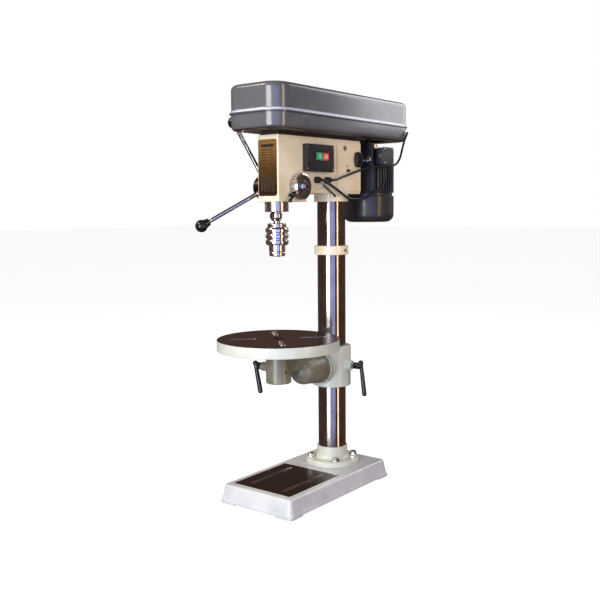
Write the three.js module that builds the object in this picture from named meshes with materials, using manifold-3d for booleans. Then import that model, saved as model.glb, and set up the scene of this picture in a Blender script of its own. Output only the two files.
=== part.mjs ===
// A bench pillar drill: base, column, tilting round table, belt-driven head with its motor behind it.
// Millimetres, +Z up. Sub-parts are drawn with the column's axis at X = 0, Y = 0 and the floor at Z = 0,
// the operator standing at -Y; the finished group is then moved so that the middle of its footprint is
// the origin.
import * as THREE from 'three';
import { mergeVertices } from 'three/addons/utils/BufferGeometryUtils.js';
import Module from 'manifold-3d';

const wasm = await Module();
wasm.setup();

// ---- driving dimensions -------------------------------------------------------------------------
const GAP = 0.3; // running and seating gap between neighbouring pieces
const MIDDLE = { x: 12.5, y: 48.5 }; // from the middle of the footprint to the column's axis

const COLUMN = { radius: 36, bore: 32, bottom: 48, top: 872 };
const SPINDLE_Y = -220; // spindle, chuck and table centre, in front of the column
const MOTOR_Y = 175; // motor shaft, behind the column

const BASE = { front: -309, rear: 94, halfWidth: 103, top: 46, flare: 8, plate: 11, wall: 8 };
const BASE_PAD = { halfWidth: 86, front: -291, rear: -94, lift: 0.8 };
const BASE_SLOT = { x: 50, front: -270, rear: -112, width: 12 };
const FLANGE = { radius: 68.4, thick: 14, collar: 39.6, collarTop: 92, boltCircle: 56 };

const STOP = { bottom: 592, top: 615, radius: 43.5 };
const SLEEVE = { bottom: 252, top: 357, radius: 49.5 };
const TILT = { z: 305, face: -60, radius: 42, thick: 12 };
const TABLE = { radius: 147, top: 401, rim: 26, plate: 12, postRadius: 15, hole: 13 };
const TABLE_SLOT = { from: 50, to: 118, width: 13 };
const ARM_BOSS = { radius: 30.5, bottom: 293, top: 374.4 };

const HEAD = { front: -251, rear: 60, frontHalf: 31, rearHalf: 50, nose: 725.4, bottom: 745.6, top: 880 };
const NOSE_REAR = -150; // where the deep front part of the head steps up
const HEAD_BOSS = { radius: 43.7, bottom: 726.5 };
const FEED = { y: -182, z: 761, module: 2, teeth: 13, shaft: 8, pinionHalf: 9 };
const HUB = { radius: 27, inner: -49, outer: -84, leverX: -65 };
const LEVER = { count: 3, reach: 161, outward: 90, angle: 0.6, radius: 5, knob: 15 };
const QUILL = { radius: 28, bottom: 702, top: 862 };
const RACK = { pitchLine: -195, from: 748, to: 852 };
const CHUCK = {
  ringTop: 676, sleeveTop: 666, sleeveBottom: 624, nose: 598, ring: 22.2, sleeve: 27.4, noseR: 19.4,
};
const JAW = { radius: 3.4, slope: 12, mouth: 7.4, length: 34, tip: 4.1 };

const GUARD = {
  halfWidth: 80.5, front: -312.5, rear: 266, corner: 45, bottom: 888, seam: 924, top: 991, wall: 2.5,
};
const LIP = { out: 4.5, height: 7 };
const PULLEY = { stepHeight: 14, groove: 6.5, beltHeight: 9, bottom: 904 };
const SPINDLE_STEPS = [52, 44, 36, 28]; // radii from the lowest step up
const MOTOR_STEPS = [24, 32, 40, 48];
const BELT_STEP = 1;

const MOTOR = { radius: 64, fin: 68, bottom: 672.5, seam: 742, top: 868, finCount: 18 };
const MOUNT = {
  y: 98, thick: 8, halfWidth: 61, bottom: 752, top: 879, rodX: 34, rodZ: 832, rodR: 7, rodFront: 36,
};
const TERMINAL = { fromX: 66, toX: 88, fromY: 112, toY: 160, bottom: 822, top: 866 };
const SWITCH = { y: -115, z: 829.5, width: 102, height: 65, depth: 14 };
// the pair of buttons, from the middle of the switch
const BUTTON = { middle: 7, apart: 23.4, z: 4, width: 21.2, height: 18.2 };
const COVER = { fromY: -37, toY: 58, bottom: 752, top: 874, thick: 2 };
const LEAD = { radius: 2.9 };
const LOCK = { y: -213, z: 741 };

const degrees = Math.PI / 180;
const buttonMiddle = (side) => BUTTON.middle + (side * BUTTON.apart) / 2;
const sideSlope = Math.atan2(HEAD.rearHalf - HEAD.frontHalf, HEAD.rear - HEAD.front);
const sideX = (y) => HEAD.frontHalf + (y - HEAD.front) * Math.tan(sideSlope);

// ---- finishes -----------------------------------------------------------------------------------
const finish = (color, roughness, metalness) => () =>
  new THREE.MeshStandardMaterial({ color, roughness, metalness });
const creamPaint = finish(0xe9e4cf, 0.35, 0);
const greyPaint = finish(0x5d6570, 0.25, 0);
const palePaint = finish(0xdfe5dd, 0.4, 0);
const motorPaint = finish(0x262b3d, 0.4, 0);
const darkSteel = finish(0x3b3230, 0.25, 0.9);
const brightSteel = finish(0xc8cbd0, 0.2, 1);
const blackPlastic = finish(0x141416, 0.4, 0);
const brassPlate = finish(0x8a6a35, 0.35, 0.8);
const blackRubber = finish(0x161616, 0.7, 0);

// ---- shaping helpers ----------------------------------------------------------------------------
function solid(geometry) {
  const bare = geometry.clone();
  bare.deleteAttribute('normal');
  bare.deleteAttribute('uv');
  const merged = mergeVertices(bare, 1e-4);
  const triVerts = new Uint32Array(merged.index.array);
  const vertProperties = merged.attributes.position.array;
  return new wasm.Manifold(new wasm.Mesh({ numProp: 3, vertProperties, triVerts }));
}

const join = (first, ...rest) => rest.reduce((whole, piece) => whole.add(piece), first);
const cut = (first, ...rest) => rest.reduce((whole, piece) => whole.subtract(piece), first);

function box(x0, x1, y0, y1, z0, z1) {
  const geometry = new THREE.BoxGeometry(x1 - x0, y1 - y0, z1 - z0);
  return solid(geometry.translate((x0 + x1) / 2, (y0 + y1) / 2, (z0 + z1) / 2));
}

// A straight round bar or cone between two points, first radius at the first point.
function bar(from, to, radius, endRadius = radius, sides = 20) {
  const start = new THREE.Vector3(...from);
  const end = new THREE.Vector3(...to);
  const along = end.clone().sub(start);
  const geometry = new THREE.CylinderGeometry(endRadius, radius, along.length(), sides);
  const turn = new THREE.Quaternion().setFromUnitVectors(new THREE.Vector3(0, 1, 0), along.normalize());
  geometry.applyQuaternion(turn);
  const middle = start.add(end).multiplyScalar(0.5);
  return solid(geometry.translate(middle.x, middle.y, middle.z));
}

const upright = (x, y, z0, z1, radius, endRadius = radius, sides = 24) =>
  bar([x, y, z0], [x, y, z1], radius, endRadius, sides);

// A turned piece about an upright axis; the outline is given as radius, height pairs.
function turned(outline, x, y, sides = 32) {
  const points = outline.map(([radius, height]) => new THREE.Vector2(radius, height));
  if (THREE.ShapeUtils.area(points) < 0) points.reverse();
  const geometry = new THREE.LatheGeometry(points, sides);
  geometry.rotateX(Math.PI / 2);
  return solid(geometry.translate(x, y, 0));
}

function ring(x, y, z0, z1, outer, inner, sides = 32) {
  return turned([[inner, z0], [outer, z0], [outer, z1], [inner, z1], [inner, z0]], x, y, sides);
}

const ball = (x, y, z, radius, sides = 12) =>
  solid(new THREE.SphereGeometry(radius, sides, sides / 2).translate(x, y, z));

function roundedOutline(x0, x1, y0, y1, radius) {
  const shape = new THREE.Shape();
  shape.moveTo(x0 + radius, y0);
  shape.lineTo(x1 - radius, y0);
  shape.absarc(x1 - radius, y0 + radius, radius, -Math.PI / 2, 0, false);
  shape.lineTo(x1, y1 - radius);
  shape.absarc(x1 - radius, y1 - radius, radius, 0, Math.PI / 2, false);
  shape.lineTo(x0 + radius, y1);
  shape.absarc(x0 + radius, y1 - radius, radius, Math.PI / 2, Math.PI, false);
  shape.lineTo(x0, y0 + radius);
  shape.absarc(x0 + radius, y0 + radius, radius, Math.PI, 1.5 * Math.PI, false);
  return shape;
}

function raised(shape, z0, z1, curveSegments = 4) {
  const geometry = new THREE.ExtrudeGeometry(shape, { depth: z1 - z0, bevelEnabled: false, curveSegments });
  return solid(geometry.translate(0, 0, z0));
}

// A block whose bottom and top outlines are rectangles of different size.
function tapered(bottomRect, topRect, z0, z1) {
  const geometry = new THREE.BoxGeometry(1, 1, 1);
  const place = geometry.attributes.position;
  for (let i = 0; i < place.count; i += 1) {
    const rect = place.getZ(i) < 0 ? bottomRect : topRect;
    place.setX(i, place.getX(i) < 0 ? rect[0] : rect[1]);
    place.setY(i, place.getY(i) < 0 ? rect[2] : rect[3]);
    place.setZ(i, place.getZ(i) < 0 ? z0 : z1);
  }
  return solid(geometry);
}

function tube(points, radius, sides, steps) {
  const stops = points.map((point) => new THREE.Vector3(...point));
  const curve = new THREE.CatmullRomCurve3(stops, false, 'centripetal');
  const section = new THREE.Shape();
  for (let side = 0; side < sides; side += 1) {
    const angle = (side * 2 * Math.PI) / sides;
    const corner = [radius * Math.cos(angle), radius * Math.sin(angle)];
    if (side === 0) section.moveTo(...corner);
    else section.lineTo(...corner);
  }
  return solid(new THREE.ExtrudeGeometry(section, { steps, bevelEnabled: false, extrudePath: curve }));
}

const drill = new THREE.Group();
drill.position.set(MIDDLE.x, MIDDLE.y, 0);

function place(name, piece, material) {
  const { vertProperties, triVerts } = piece.getMesh();
  const geometry = new THREE.BufferGeometry();
  geometry.setAttribute('position', new THREE.BufferAttribute(new Float32Array(vertProperties), 3));
  geometry.setIndex(new THREE.BufferAttribute(new Uint32Array(triVerts), 1));
  geometry.computeVertexNormals();
  const mesh = new THREE.Mesh(geometry, material());
  mesh.name = name;
  drill.add(mesh);
}

// ---- stand: base, flange, column and bolts ------------------------------------------------------
function baseCasting() {
  const { front, rear, halfWidth, top, flare, plate, wall } = BASE;
  const outline = (grow) => [-halfWidth - grow, halfWidth + grow, front - grow, rear + grow];
  const footHeight = 10;
  const footLength = 52;
  const body = tapered(outline(flare - 1), outline(0), footHeight, top);
  const hollow = tapered(outline(flare - 1 - wall), outline(-wall), -1, top - plate);
  const skirt = tapered(outline(flare), outline(flare - 1), 4, footHeight);
  const padWide = BASE_PAD.halfWidth;
  const pad = box(-padWide, padWide, BASE_PAD.front, BASE_PAD.rear, top - 1, top + BASE_PAD.lift);
  let shell = cut(join(body, skirt), hollow);
  for (const sx of [-1, 1]) {
    for (const [edge, sy] of [[front - flare, 1], [rear + flare, -1]]) {
      const corner = sx * (halfWidth + flare);
      const xs = [corner, corner - sx * footLength].sort((a, b) => a - b);
      const ys = [edge, edge + sy * footLength].sort((a, b) => a - b);
      shell = join(shell, box(xs[0], xs[1], ys[0], ys[1], 0, 5));
    }
  }
  // a boss under the plate takes each flange bolt
  const bossDepth = 24;
  const under = top - plate;
  const bosses = boltPlaces().map(([x, y]) => upright(x, y, under - bossDepth, under + 1, 11, 11, 16));
  shell = join(shell, pad, ...bosses);
  const slotEnd = BASE_SLOT.width / 2;
  for (const x of [-BASE_SLOT.x, BASE_SLOT.x]) {
    const slot = roundedOutline(x - slotEnd, x + slotEnd, BASE_SLOT.front, BASE_SLOT.rear, slotEnd - 0.01);
    shell = cut(shell, raised(slot, top - plate - 2, top + 4, 4));
  }
  for (const [x, y] of boltPlaces()) {
    shell = cut(shell, upright(x, y, 5, top + 4, 5.3, 5.3, 8));
  }
  return shell;
}

function boltPlaces() {
  return [45, 135, 225, 315].map((turn) => [
    FLANGE.boltCircle * Math.cos(turn * degrees),
    FLANGE.boltCircle * Math.sin(turn * degrees),
  ]);
}

function columnFlange() {
  const floor = BASE.top + GAP;
  const seat = COLUMN.radius + GAP;
  const body = turned([
    [seat, floor], [FLANGE.radius, floor], [FLANGE.radius, floor + 9],
    [FLANGE.radius - 3, floor + FLANGE.thick],
    [FLANGE.collar + 5, floor + FLANGE.thick], [FLANGE.collar, floor + FLANGE.thick + 5],
    [FLANGE.collar, FLANGE.collarTop - 2], [FLANGE.collar - 1.5, FLANGE.collarTop], [seat, FLANGE.collarTop],
    [seat, floor],
  ], 0, 0, 28);
  return cut(body, ...boltPlaces().map(([x, y]) => upright(x, y, floor - 1, floor + 20, 5.3, 5.3, 8)));
}

function flangeBolt(x, y) {
  const seat = BASE.top + FLANGE.thick + 2 * GAP;
  return join(
    upright(x, y, 20, seat + 1, 5, 5, 8),
    upright(x, y, seat, seat + 2, 10, 10, 16),
    upright(x, y, seat + 1.5, seat + 9, 9.2, 9.2, 6),
  );
}

place('base_casting', baseCasting(), palePaint);
place('column_flange', columnFlange(), palePaint);
place('column_tube', ring(0, 0, COLUMN.bottom, COLUMN.top, COLUMN.radius, COLUMN.bore, 32), darkSteel);
boltPlaces().forEach(([x, y], i) => place(`flange_bolt_${i + 1}`, flangeBolt(x, y), brightSteel));

// ---- ring that stops the head or the table from dropping ----------------------------------------
place('stop_collar', cut(
  turned([
    [COLUMN.radius + GAP, STOP.bottom], [STOP.radius - 1, STOP.bottom], [STOP.radius, STOP.bottom + 1],
    [STOP.radius, STOP.top - 1], [STOP.radius - 1, STOP.top], [COLUMN.radius + GAP, STOP.top],
    [COLUMN.radius + GAP, STOP.bottom],
  ], 0, 0, 32),
  bar([STOP.radius - 8, 0, 603.5], [STOP.radius + 4, 0, 603.5], 4.4, 4.4, 12),
), creamPaint);

// ---- table bracket, arm and table ---------------------------------------------------------------
const clampZ = 309; // column clamp screw
const tableClampZ = 328;

function tableBracket() {
  const lug = bar([SLEEVE.radius - 8, 0, clampZ], [64, 0, clampZ], 13, 13, 20);
  const neck = bar([0, -20, TILT.z], [0, TILT.face + TILT.thick, TILT.z], 34, 38, 24);
  const back = TILT.face + TILT.thick + 1;
  const disc = bar([0, back, TILT.z], [0, TILT.face + GAP, TILT.z], TILT.radius, TILT.radius, 32);
  const sleeve = upright(0, 0, SLEEVE.bottom, SLEEVE.top, SLEEVE.radius, SLEEVE.radius, 36);
  const body = join(sleeve, lug, neck, disc);
  return cut(
    body,
    upright(0, 0, SLEEVE.bottom - 5, SLEEVE.top + 5, COLUMN.radius + GAP, COLUMN.radius + GAP, 32),
    bar([30, 0, clampZ], [70, 0, clampZ], 6.3, 6.3, 16),
    bar([0, -36.2, TILT.z], [0, -80, TILT.z], 7.3, 7.3, 12),
  );
}

// A clamping lever: threaded stud, round hub and a cranked handle hanging from it.
function clampLever(tip, hub, handleTop, handleEnd, studRadius) {
  const reach = (part) => tip.map((value, i) => value + (hub[i] - value) * part);
  return join(
    bar(tip, hub, studRadius, studRadius, 10),
    bar(reach(0.72), hub, 8.5, 8.5, 12),
    bar(hub, handleTop, 6.5, 5.5, 10),
    ball(...handleTop, 6.5, 8),
    bar(handleTop, handleEnd, 5, 6, 10),
    ball(...handleEnd, 6.2, 8),
  );
}

function tableArm() {
  const y = SPINDLE_Y;
  const face = TILT.face - GAP;
  const boss = upright(0, y, ARM_BOSS.bottom, ARM_BOSS.top, ARM_BOSS.radius, ARM_BOSS.radius, 24);
  const flange = bar([0, face, TILT.z], [0, face - 7, TILT.z], TILT.radius - 2, TILT.radius - 4, 28);
  const barrel = bar([0, face - 6, TILT.z], [0, -120, TILT.z], 38, 35, 16);
  const belly = solid(new THREE.SphereGeometry(1, 14, 8).scale(33, 40, 36).translate(0, -122, TILT.z));
  const neck = solid(new THREE.SphereGeometry(1, 12, 8).scale(20, 75, 27).translate(0, -165, 335));
  const rib = box(-20, 20, y + 12, -110, 312, 356);
  const lug = bar([-24, y, tableClampZ], [-52, y, tableClampZ], 11, 11, 16);
  return cut(
    join(boss, flange, barrel, belly, neck, rib, lug),
    upright(0, y, ARM_BOSS.bottom - 5, ARM_BOSS.top + 20, TABLE.postRadius + GAP, TABLE.postRadius + GAP, 40),
    bar([-5, y, tableClampZ], [-60, y, tableClampZ], 5.3, 5.3, 10),
    bar([0, face + 5, TILT.z], [0, -100, TILT.z], 7.3, 7.3, 12),
    box(-13, 13, -115, -95.6, TILT.z - 60, TILT.z + 13),
  );
}

function tiltBolt() {
  return join(
    bar([0, -38, TILT.z], [0, -98, TILT.z], 7, 7, 12),
    bar([0, -96, TILT.z], [0, -105, TILT.z], 11.5, 11.5, 6),
  );
}

function workTable() {
  const { radius, top, rim, plate, postRadius, hole } = TABLE;
  const under = top - rim;
  const body = turned([
    [hole, top], [radius - 1, top], [radius, top - 1], [radius, under], [radius - 9, under],
    [radius - 10, top - plate], [40, top - plate], [38, under], [postRadius, under], [postRadius, 300],
    [hole, 300],
    [hole, top],
  ], 0, SPINDLE_Y, 40);
  const slots = [45, 135, 225, 315].map((turn) => {
    const half = TABLE_SLOT.width / 2;
    const outline = roundedOutline(TABLE_SLOT.from, TABLE_SLOT.to, -half, half, half - 0.01);
    const slot = new THREE.ExtrudeGeometry(
      outline,
      { depth: plate + 8, bevelEnabled: false, curveSegments: 2 },
    );
    return solid(slot.rotateZ(turn * degrees).translate(0, SPINDLE_Y, top - plate - 4));
  });
  return cut(body, ...slots);
}

place('table_bracket', tableBracket(), palePaint);
place('column_clamp_lever', clampLever(
  [37, 0, clampZ], [82, 0, clampZ], [88, 4, 317], [96, 8, 236], 5.8,
), blackPlastic);
place('table_arm', tableArm(), palePaint);
place('tilt_bolt', tiltBolt(), brightSteel);
place('work_table', workTable(), palePaint);
place('table_clamp_lever', clampLever(
  [-16, SPINDLE_Y, tableClampZ], [-66, SPINDLE_Y, tableClampZ],
  [-70, SPINDLE_Y - 4, 334], [-50, SPINDLE_Y - 10, 268], 4.8,
), blackPlastic);

// ---- head casting -------------------------------------------------------------------------------
function headOutline(inset, rear) {
  const shape = new THREE.Shape();
  const half = sideX(rear) - inset;
  const front = HEAD.front + inset;
  const frontHalf = HEAD.frontHalf - inset;
  const corner = 3;
  shape.moveTo(-frontHalf + corner, front);
  shape.lineTo(frontHalf - corner, front);
  shape.absarc(frontHalf - corner, front + corner, corner, -Math.PI / 2, 0, false);
  shape.lineTo(half, rear - inset);
  shape.lineTo(-half, rear - inset);
  shape.lineTo(-frontHalf, front + corner);
  shape.absarc(-frontHalf + corner, front + corner, corner, Math.PI, 1.5 * Math.PI, false);
  return shape;
}

function headCasting() {
  const { nose, bottom, top, rear } = HEAD;
  const body = join(
    raised(headOutline(0, rear), bottom, top, 3),
    raised(headOutline(0, NOSE_REAR), nose, bottom + 1, 3),
    upright(0, 0, HEAD_BOSS.bottom, bottom + 1, HEAD_BOSS.radius, HEAD_BOSS.radius, 32),
    bar([-30, FEED.y, FEED.z], [-44, FEED.y, FEED.z], 25, 25, 20),
  );
  const y = SPINDLE_Y;
  return cut(
    body,
    upright(0, 0, HEAD_BOSS.bottom - 5, COLUMN.top + GAP, COLUMN.radius + GAP, COLUMN.radius + GAP, 32),
    upright(0, y, nose - 5, QUILL.top + 3, QUILL.radius + GAP, QUILL.radius + GAP, 24),
    upright(0, y, QUILL.top, top + 5, 22.3, 22.3, 20),
    bar([-60, FEED.y, FEED.z], [11, FEED.y, FEED.z], 15.6, 15.6, 20),
    bar([0, FEED.y, FEED.z], [60, FEED.y, FEED.z], FEED.shaft + GAP, FEED.shaft + GAP, 20),
    ...[-1, 1].map((side) => bar([side * MOUNT.rodX, rear + 5, MOUNT.rodZ],
      [side * MOUNT.rodX, 25.6, MOUNT.rodZ], MOUNT.rodR + GAP, MOUNT.rodR + GAP, 16)),
    bar([MOUNT.rodX, 43, MOUNT.rodZ], [60, 43, MOUNT.rodZ], 5, 5, 16),
    bar([0, LOCK.y, LOCK.z], [50, LOCK.y, LOCK.z], 4.3, 4.3, 12),
    // hollow for the wiring behind the switch and its cover
    box(0, 28, -160, -44, 800, HEAD.top - 12),
    ...[-1, 1].map((side) => {
      const buttonY = SWITCH.y + buttonMiddle(side);
      return bar([10, buttonY, SWITCH.z + BUTTON.z], [60, buttonY, SWITCH.z + BUTTON.z], 5, 5, 12);
    }),
  );
}

// A piece drawn against the plane X = 0 is turned to lie against the head's sloping right side.
function ontoSide(piece, y, z, stand = 0) {
  const turn = new THREE.Matrix4().makeRotationZ(-sideSlope);
  const out = new THREE.Vector3(stand, 0, 0).applyMatrix4(turn);
  turn.setPosition(sideX(y) + out.x, y + out.y, z);
  const { elements } = turn;
  return piece.transform([...elements]);
}

function nameplate() {
  return box(-27.5, 27.5, HEAD.front - 1.3, HEAD.front - GAP, 739, 869);
}

function buttonBlock(side, x0, x1, grow) {
  const y = buttonMiddle(side);
  const wide = BUTTON.width / 2 + grow;
  const high = BUTTON.height / 2 + grow;
  return box(x0, x1, y - wide, y + wide, BUTTON.z - high, BUTTON.z + high);
}

function switchHousing() {
  const { width, height, depth } = SWITCH;
  const frame = box(GAP, depth, -width / 2, width / 2, -height / 2, height / 2);
  const wells = [-1, 1].map((side) => buttonBlock(side, -5, depth + 5, 0.4));
  return ontoSide(cut(frame, ...wells), SWITCH.y, SWITCH.z);
}

function pushButton(side) {
  const y = buttonMiddle(side);
  const cap = buttonBlock(side, 5, SWITCH.depth + 1.5, 0);
  const stem = bar([-9, y, BUTTON.z], [6, y, BUTTON.z], 4, 4, 12);
  return ontoSide(join(cap, stem), SWITCH.y, SWITCH.z);
}

place('head_casting', headCasting(), creamPaint);
place('nameplate', nameplate(), brassPlate);
place('electrical_cover', ontoSide(
  cut(
    box(GAP, COVER.thick + GAP, COVER.fromY - 10, COVER.toY - 10, COVER.bottom - 832, COVER.top - 832),
    bar([-5, 33, 0], [10, 33, 0], 6, 6, 16),
  ), 10, 832,
), creamPaint);
place('switch_housing', switchHousing(), blackPlastic);
place('start_button', pushButton(-1), finish(0x2fa46a, 0.4, 0));
place('stop_button', pushButton(1), finish(0xe2503f, 0.4, 0));

// ---- feed: pinion shaft, hub, levers, return spring ---------------------------------------------
const pitchRadius = (FEED.module * FEED.teeth) / 2;
const toothHalf = FEED.module * 0.62; // half tooth thickness on the pitch line, thinned for backlash

function pinionOutline() {
  const shape = new THREE.Shape();
  const root = pitchRadius - 2.5;
  const tip = pitchRadius + 1.7;
  for (let tooth = 0; tooth < FEED.teeth; tooth += 1) {
    const middle = Math.PI + (tooth * 2 * Math.PI) / FEED.teeth;
    const corners = [
      [root, -(toothHalf + 0.7) / pitchRadius], [tip, -(toothHalf - 0.75) / pitchRadius],
      [tip, (toothHalf - 0.75) / pitchRadius], [root, (toothHalf + 0.7) / pitchRadius],
    ];
    corners.forEach(([radius, turn], i) => {
      const point = [radius * Math.cos(middle + turn), radius * Math.sin(middle + turn)];
      if (tooth === 0 && i === 0) shape.moveTo(...point);
      else shape.lineTo(...point);
    });
  }
  return shape;
}

// Local X, Y of the outline become world Y, Z; the extrusion runs along X.
function pinion() {
  const depth = 2 * FEED.pinionHalf;
  const geometry = new THREE.ExtrudeGeometry(pinionOutline(), { depth, bevelEnabled: false });
  geometry.applyMatrix4(new THREE.Matrix4().makeBasis(
    new THREE.Vector3(0, 1, 0), new THREE.Vector3(0, 0, 1), new THREE.Vector3(1, 0, 0),
  ));
  return solid(geometry.translate(-FEED.pinionHalf, FEED.y, FEED.z));
}

const onFeedAxis = (x0, x1, radius, sides = 20) =>
  bar([x0, FEED.y, FEED.z], [x1, FEED.y, FEED.z], radius, radius, sides);

function leverPoint(index, part) {
  const angle = LEVER.angle - (index * 2 * Math.PI) / LEVER.count;
  const reach = 12 + (LEVER.reach - 12) * part;
  return [
    HUB.leverX - LEVER.outward * part,
    FEED.y - reach * Math.cos(angle),
    FEED.z - reach * Math.sin(angle),
  ];
}

function feedHub() {
  const holes = Array.from({ length: LEVER.count }, (_, i) =>
    bar(leverPoint(i, -0.02), leverPoint(i, 0.4), LEVER.radius + GAP, LEVER.radius + GAP, 10));
  return cut(
    join(onFeedAxis(HUB.inner, HUB.outer, HUB.radius, 24), onFeedAxis(HUB.outer + 1, HUB.outer - 5, 15, 24)),
    onFeedAxis(HUB.inner + 5, -61, FEED.shaft + GAP, 24),
    ...holes,
  );
}

function feedLever(index) {
  return bar(leverPoint(index, 0.02), leverPoint(index, 0.91), LEVER.radius, LEVER.radius, 12);
}

function feedKnob(index) {
  const collar = bar(leverPoint(index, 0.83), leverPoint(index, 0.95), 8.5, 11, 12);
  const bore = LEVER.radius + GAP;
  const hole = bar(leverPoint(index, 0.7), leverPoint(index, 0.915), bore, bore, 12);
  return cut(join(ball(...leverPoint(index, 1), LEVER.knob, 12), collar), hole);
}

function springHousing() {
  const inner = sideX(FEED.y + 31) + GAP;
  const shell = join(onFeedAxis(inner, 52, 31, 28), onFeedAxis(51, 54, 27, 28));
  return cut(shell, onFeedAxis(inner - 3, 49, 28, 24), onFeedAxis(0, 60, 9, 12));
}

function returnSpring() {
  const turns = 3.5;
  const stepsPerTurn = 12;
  const inner = 11.5;
  const pitch = 3.6;
  const shape = new THREE.Shape();
  const point = (step, thick) => {
    const angle = (step / stepsPerTurn) * 2 * Math.PI;
    const radius = inner + (pitch * step) / stepsPerTurn + thick;
    return [radius * Math.cos(angle), radius * Math.sin(angle)];
  };
  const steps = turns * stepsPerTurn;
  shape.moveTo(...point(0, 0));
  for (let step = 1; step <= steps; step += 1) shape.lineTo(...point(step, 0));
  for (let step = steps; step >= 0; step -= 1) shape.lineTo(...point(step, 0.9));
  const geometry = new THREE.ExtrudeGeometry(shape, { depth: 9, bevelEnabled: false });
  geometry.applyMatrix4(new THREE.Matrix4().makeBasis(
    new THREE.Vector3(0, 1, 0), new THREE.Vector3(0, 0, 1), new THREE.Vector3(1, 0, 0),
  ));
  return solid(geometry.translate(39, FEED.y, FEED.z));
}

place('feed_shaft', join(
  pinion(), onFeedAxis(-60.5, 60, FEED.shaft, 24), onFeedAxis(-43.5, -FEED.pinionHalf, 10.2, 24),
), brightSteel);
place('feed_hub', feedHub(), brightSteel);
place('depth_ring', cut(
  onFeedAxis(HUB.inner + GAP, HUB.inner + 4.7, 29, 32), onFeedAxis(-60, -30, 10.6, 20),
), brightSteel);
for (let i = 0; i < LEVER.count; i += 1) {
  place(`feed_lever_${i + 1}`, feedLever(i), brightSteel);
  place(`feed_knob_${i + 1}`, feedKnob(i), blackPlastic);
}
place('spring_housing', springHousing(), brightSteel);
place('return_spring', returnSpring(), darkSteel);
const nutRadius = 8.8 / Math.cos(30 * degrees);
place('spring_nut', cut(
  onFeedAxis(54 + GAP, 63, nutRadius, 6), onFeedAxis(50, 60.5, FEED.shaft + GAP, 20),
), brightSteel);
place('quill_lock_lever', join(
  bar([28, LOCK.y, LOCK.z], [46, LOCK.y, LOCK.z], 4, 4, 12),
  bar([43.5, LOCK.y, LOCK.z], [46, LOCK.y - 12, LOCK.z - 12], 3.6, 3.4, 10),
  ball(46, LOCK.y - 13, LOCK.z - 13, 5, 10),
), blackPlastic);

// ---- quill, spindle and chuck -------------------------------------------------------------------
function rackGaps() {
  const pitch = Math.PI * FEED.module;
  const gaps = [];
  const gapHalf = pitch / 2 - toothHalf;
  const first = Math.ceil((RACK.from - FEED.z) / pitch);
  const last = Math.floor((RACK.to - FEED.z) / pitch);
  for (let i = first; i <= last; i += 1) {
    const z = FEED.z + i * pitch;
    const shape = new THREE.Shape();
    shape.moveTo(RACK.pitchLine - 2.4, -gapHalf + 0.85);
    shape.lineTo(RACK.pitchLine + 12, -gapHalf - 4.2);
    shape.lineTo(RACK.pitchLine + 12, gapHalf + 4.2);
    shape.lineTo(RACK.pitchLine - 2.4, gapHalf - 0.85);
    const geometry = new THREE.ExtrudeGeometry(shape, { depth: 80, bevelEnabled: false });
    geometry.applyMatrix4(new THREE.Matrix4().makeBasis(
      new THREE.Vector3(0, 1, 0), new THREE.Vector3(0, 0, 1), new THREE.Vector3(1, 0, 0),
    ));
    gaps.push(solid(geometry.translate(-40, 0, z)));
  }
  return gaps;
}

function quill() {
  const { radius, bottom, top } = QUILL;
  const y = SPINDLE_Y;
  const body = turned([
    [17.3, bottom], [radius - 1.5, bottom], [radius, bottom + 1.5], [radius, top], [11.3, top],
    [11.3, bottom + 18], [17.3, bottom + 18], [17.3, bottom],
  ], 0, y, 24);
  const flat = box(-40, 40, RACK.pitchLine + 2, y + 60, RACK.from, RACK.to);
  return cut(body, flat, ...rackGaps());
}

place('quill', quill(), brightSteel);
place('lower_bearing', ring(0, SPINDLE_Y, QUILL.bottom + 2, QUILL.bottom + 17.7, 17, 10.3, 20), brightSteel);
place('spindle', turned([
  [0, 666.4], [7.3, 666.4], [7.3, 676.5], [9.5, 684], [12, 688], [12, 698], [10, 700], [10, 868],
  [8.3, 868.4], [8.3, 984], [0, 984],
], 0, SPINDLE_Y, 20), brightSteel);

const jawAxis = (turn, along) => {
  const radius = JAW.mouth + along * Math.sin(JAW.slope * degrees);
  return [
    radius * Math.cos(turn), SPINDLE_Y + radius * Math.sin(turn),
    CHUCK.nose + along * Math.cos(JAW.slope * degrees),
  ];
};
const jawTurns = [90, 210, 330].map((turn) => turn * degrees);

function chuckBody() {
  const { ringTop, nose, noseR, ring: ringR, sleeveTop } = CHUCK;
  const body = turned([
    [7.6, ringTop], [7.6, 666], [0, 666], [0, 632], [9, 630], [9, nose], [noseR - 3, nose], [noseR, nose + 4],
    [noseR, sleeveTop + GAP], [ringR, sleeveTop + GAP], [ringR, ringTop - 2], [ringR - 2, ringTop],
    [7.6, ringTop],
  ], 0, SPINDLE_Y, 24);
  return cut(body, ...jawTurns.map((turn) =>
    bar(jawAxis(turn, -12), jawAxis(turn, 56), JAW.radius + GAP, JAW.radius + GAP, 8)));
}

// Each jaw is a round pin whose inner end is ground to a wedge, so that the jaws close on the axis.
function chuckJaw(turn) {
  const pin = bar(jawAxis(turn, -1), jawAxis(turn, JAW.length), JAW.radius, JAW.radius, 8);
  const reach = 26;
  const wedge = new THREE.Shape();
  wedge.moveTo(JAW.tip, 0);
  wedge.lineTo(JAW.tip + reach, -reach * Math.tan(60 * degrees));
  wedge.lineTo(JAW.tip + reach, reach * Math.tan(60 * degrees));
  const sector = new THREE.ExtrudeGeometry(wedge, { depth: 60, bevelEnabled: false });
  sector.rotateZ(turn).translate(0, SPINDLE_Y, CHUCK.nose - 10);
  return pin.intersect(solid(sector));
}

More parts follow.
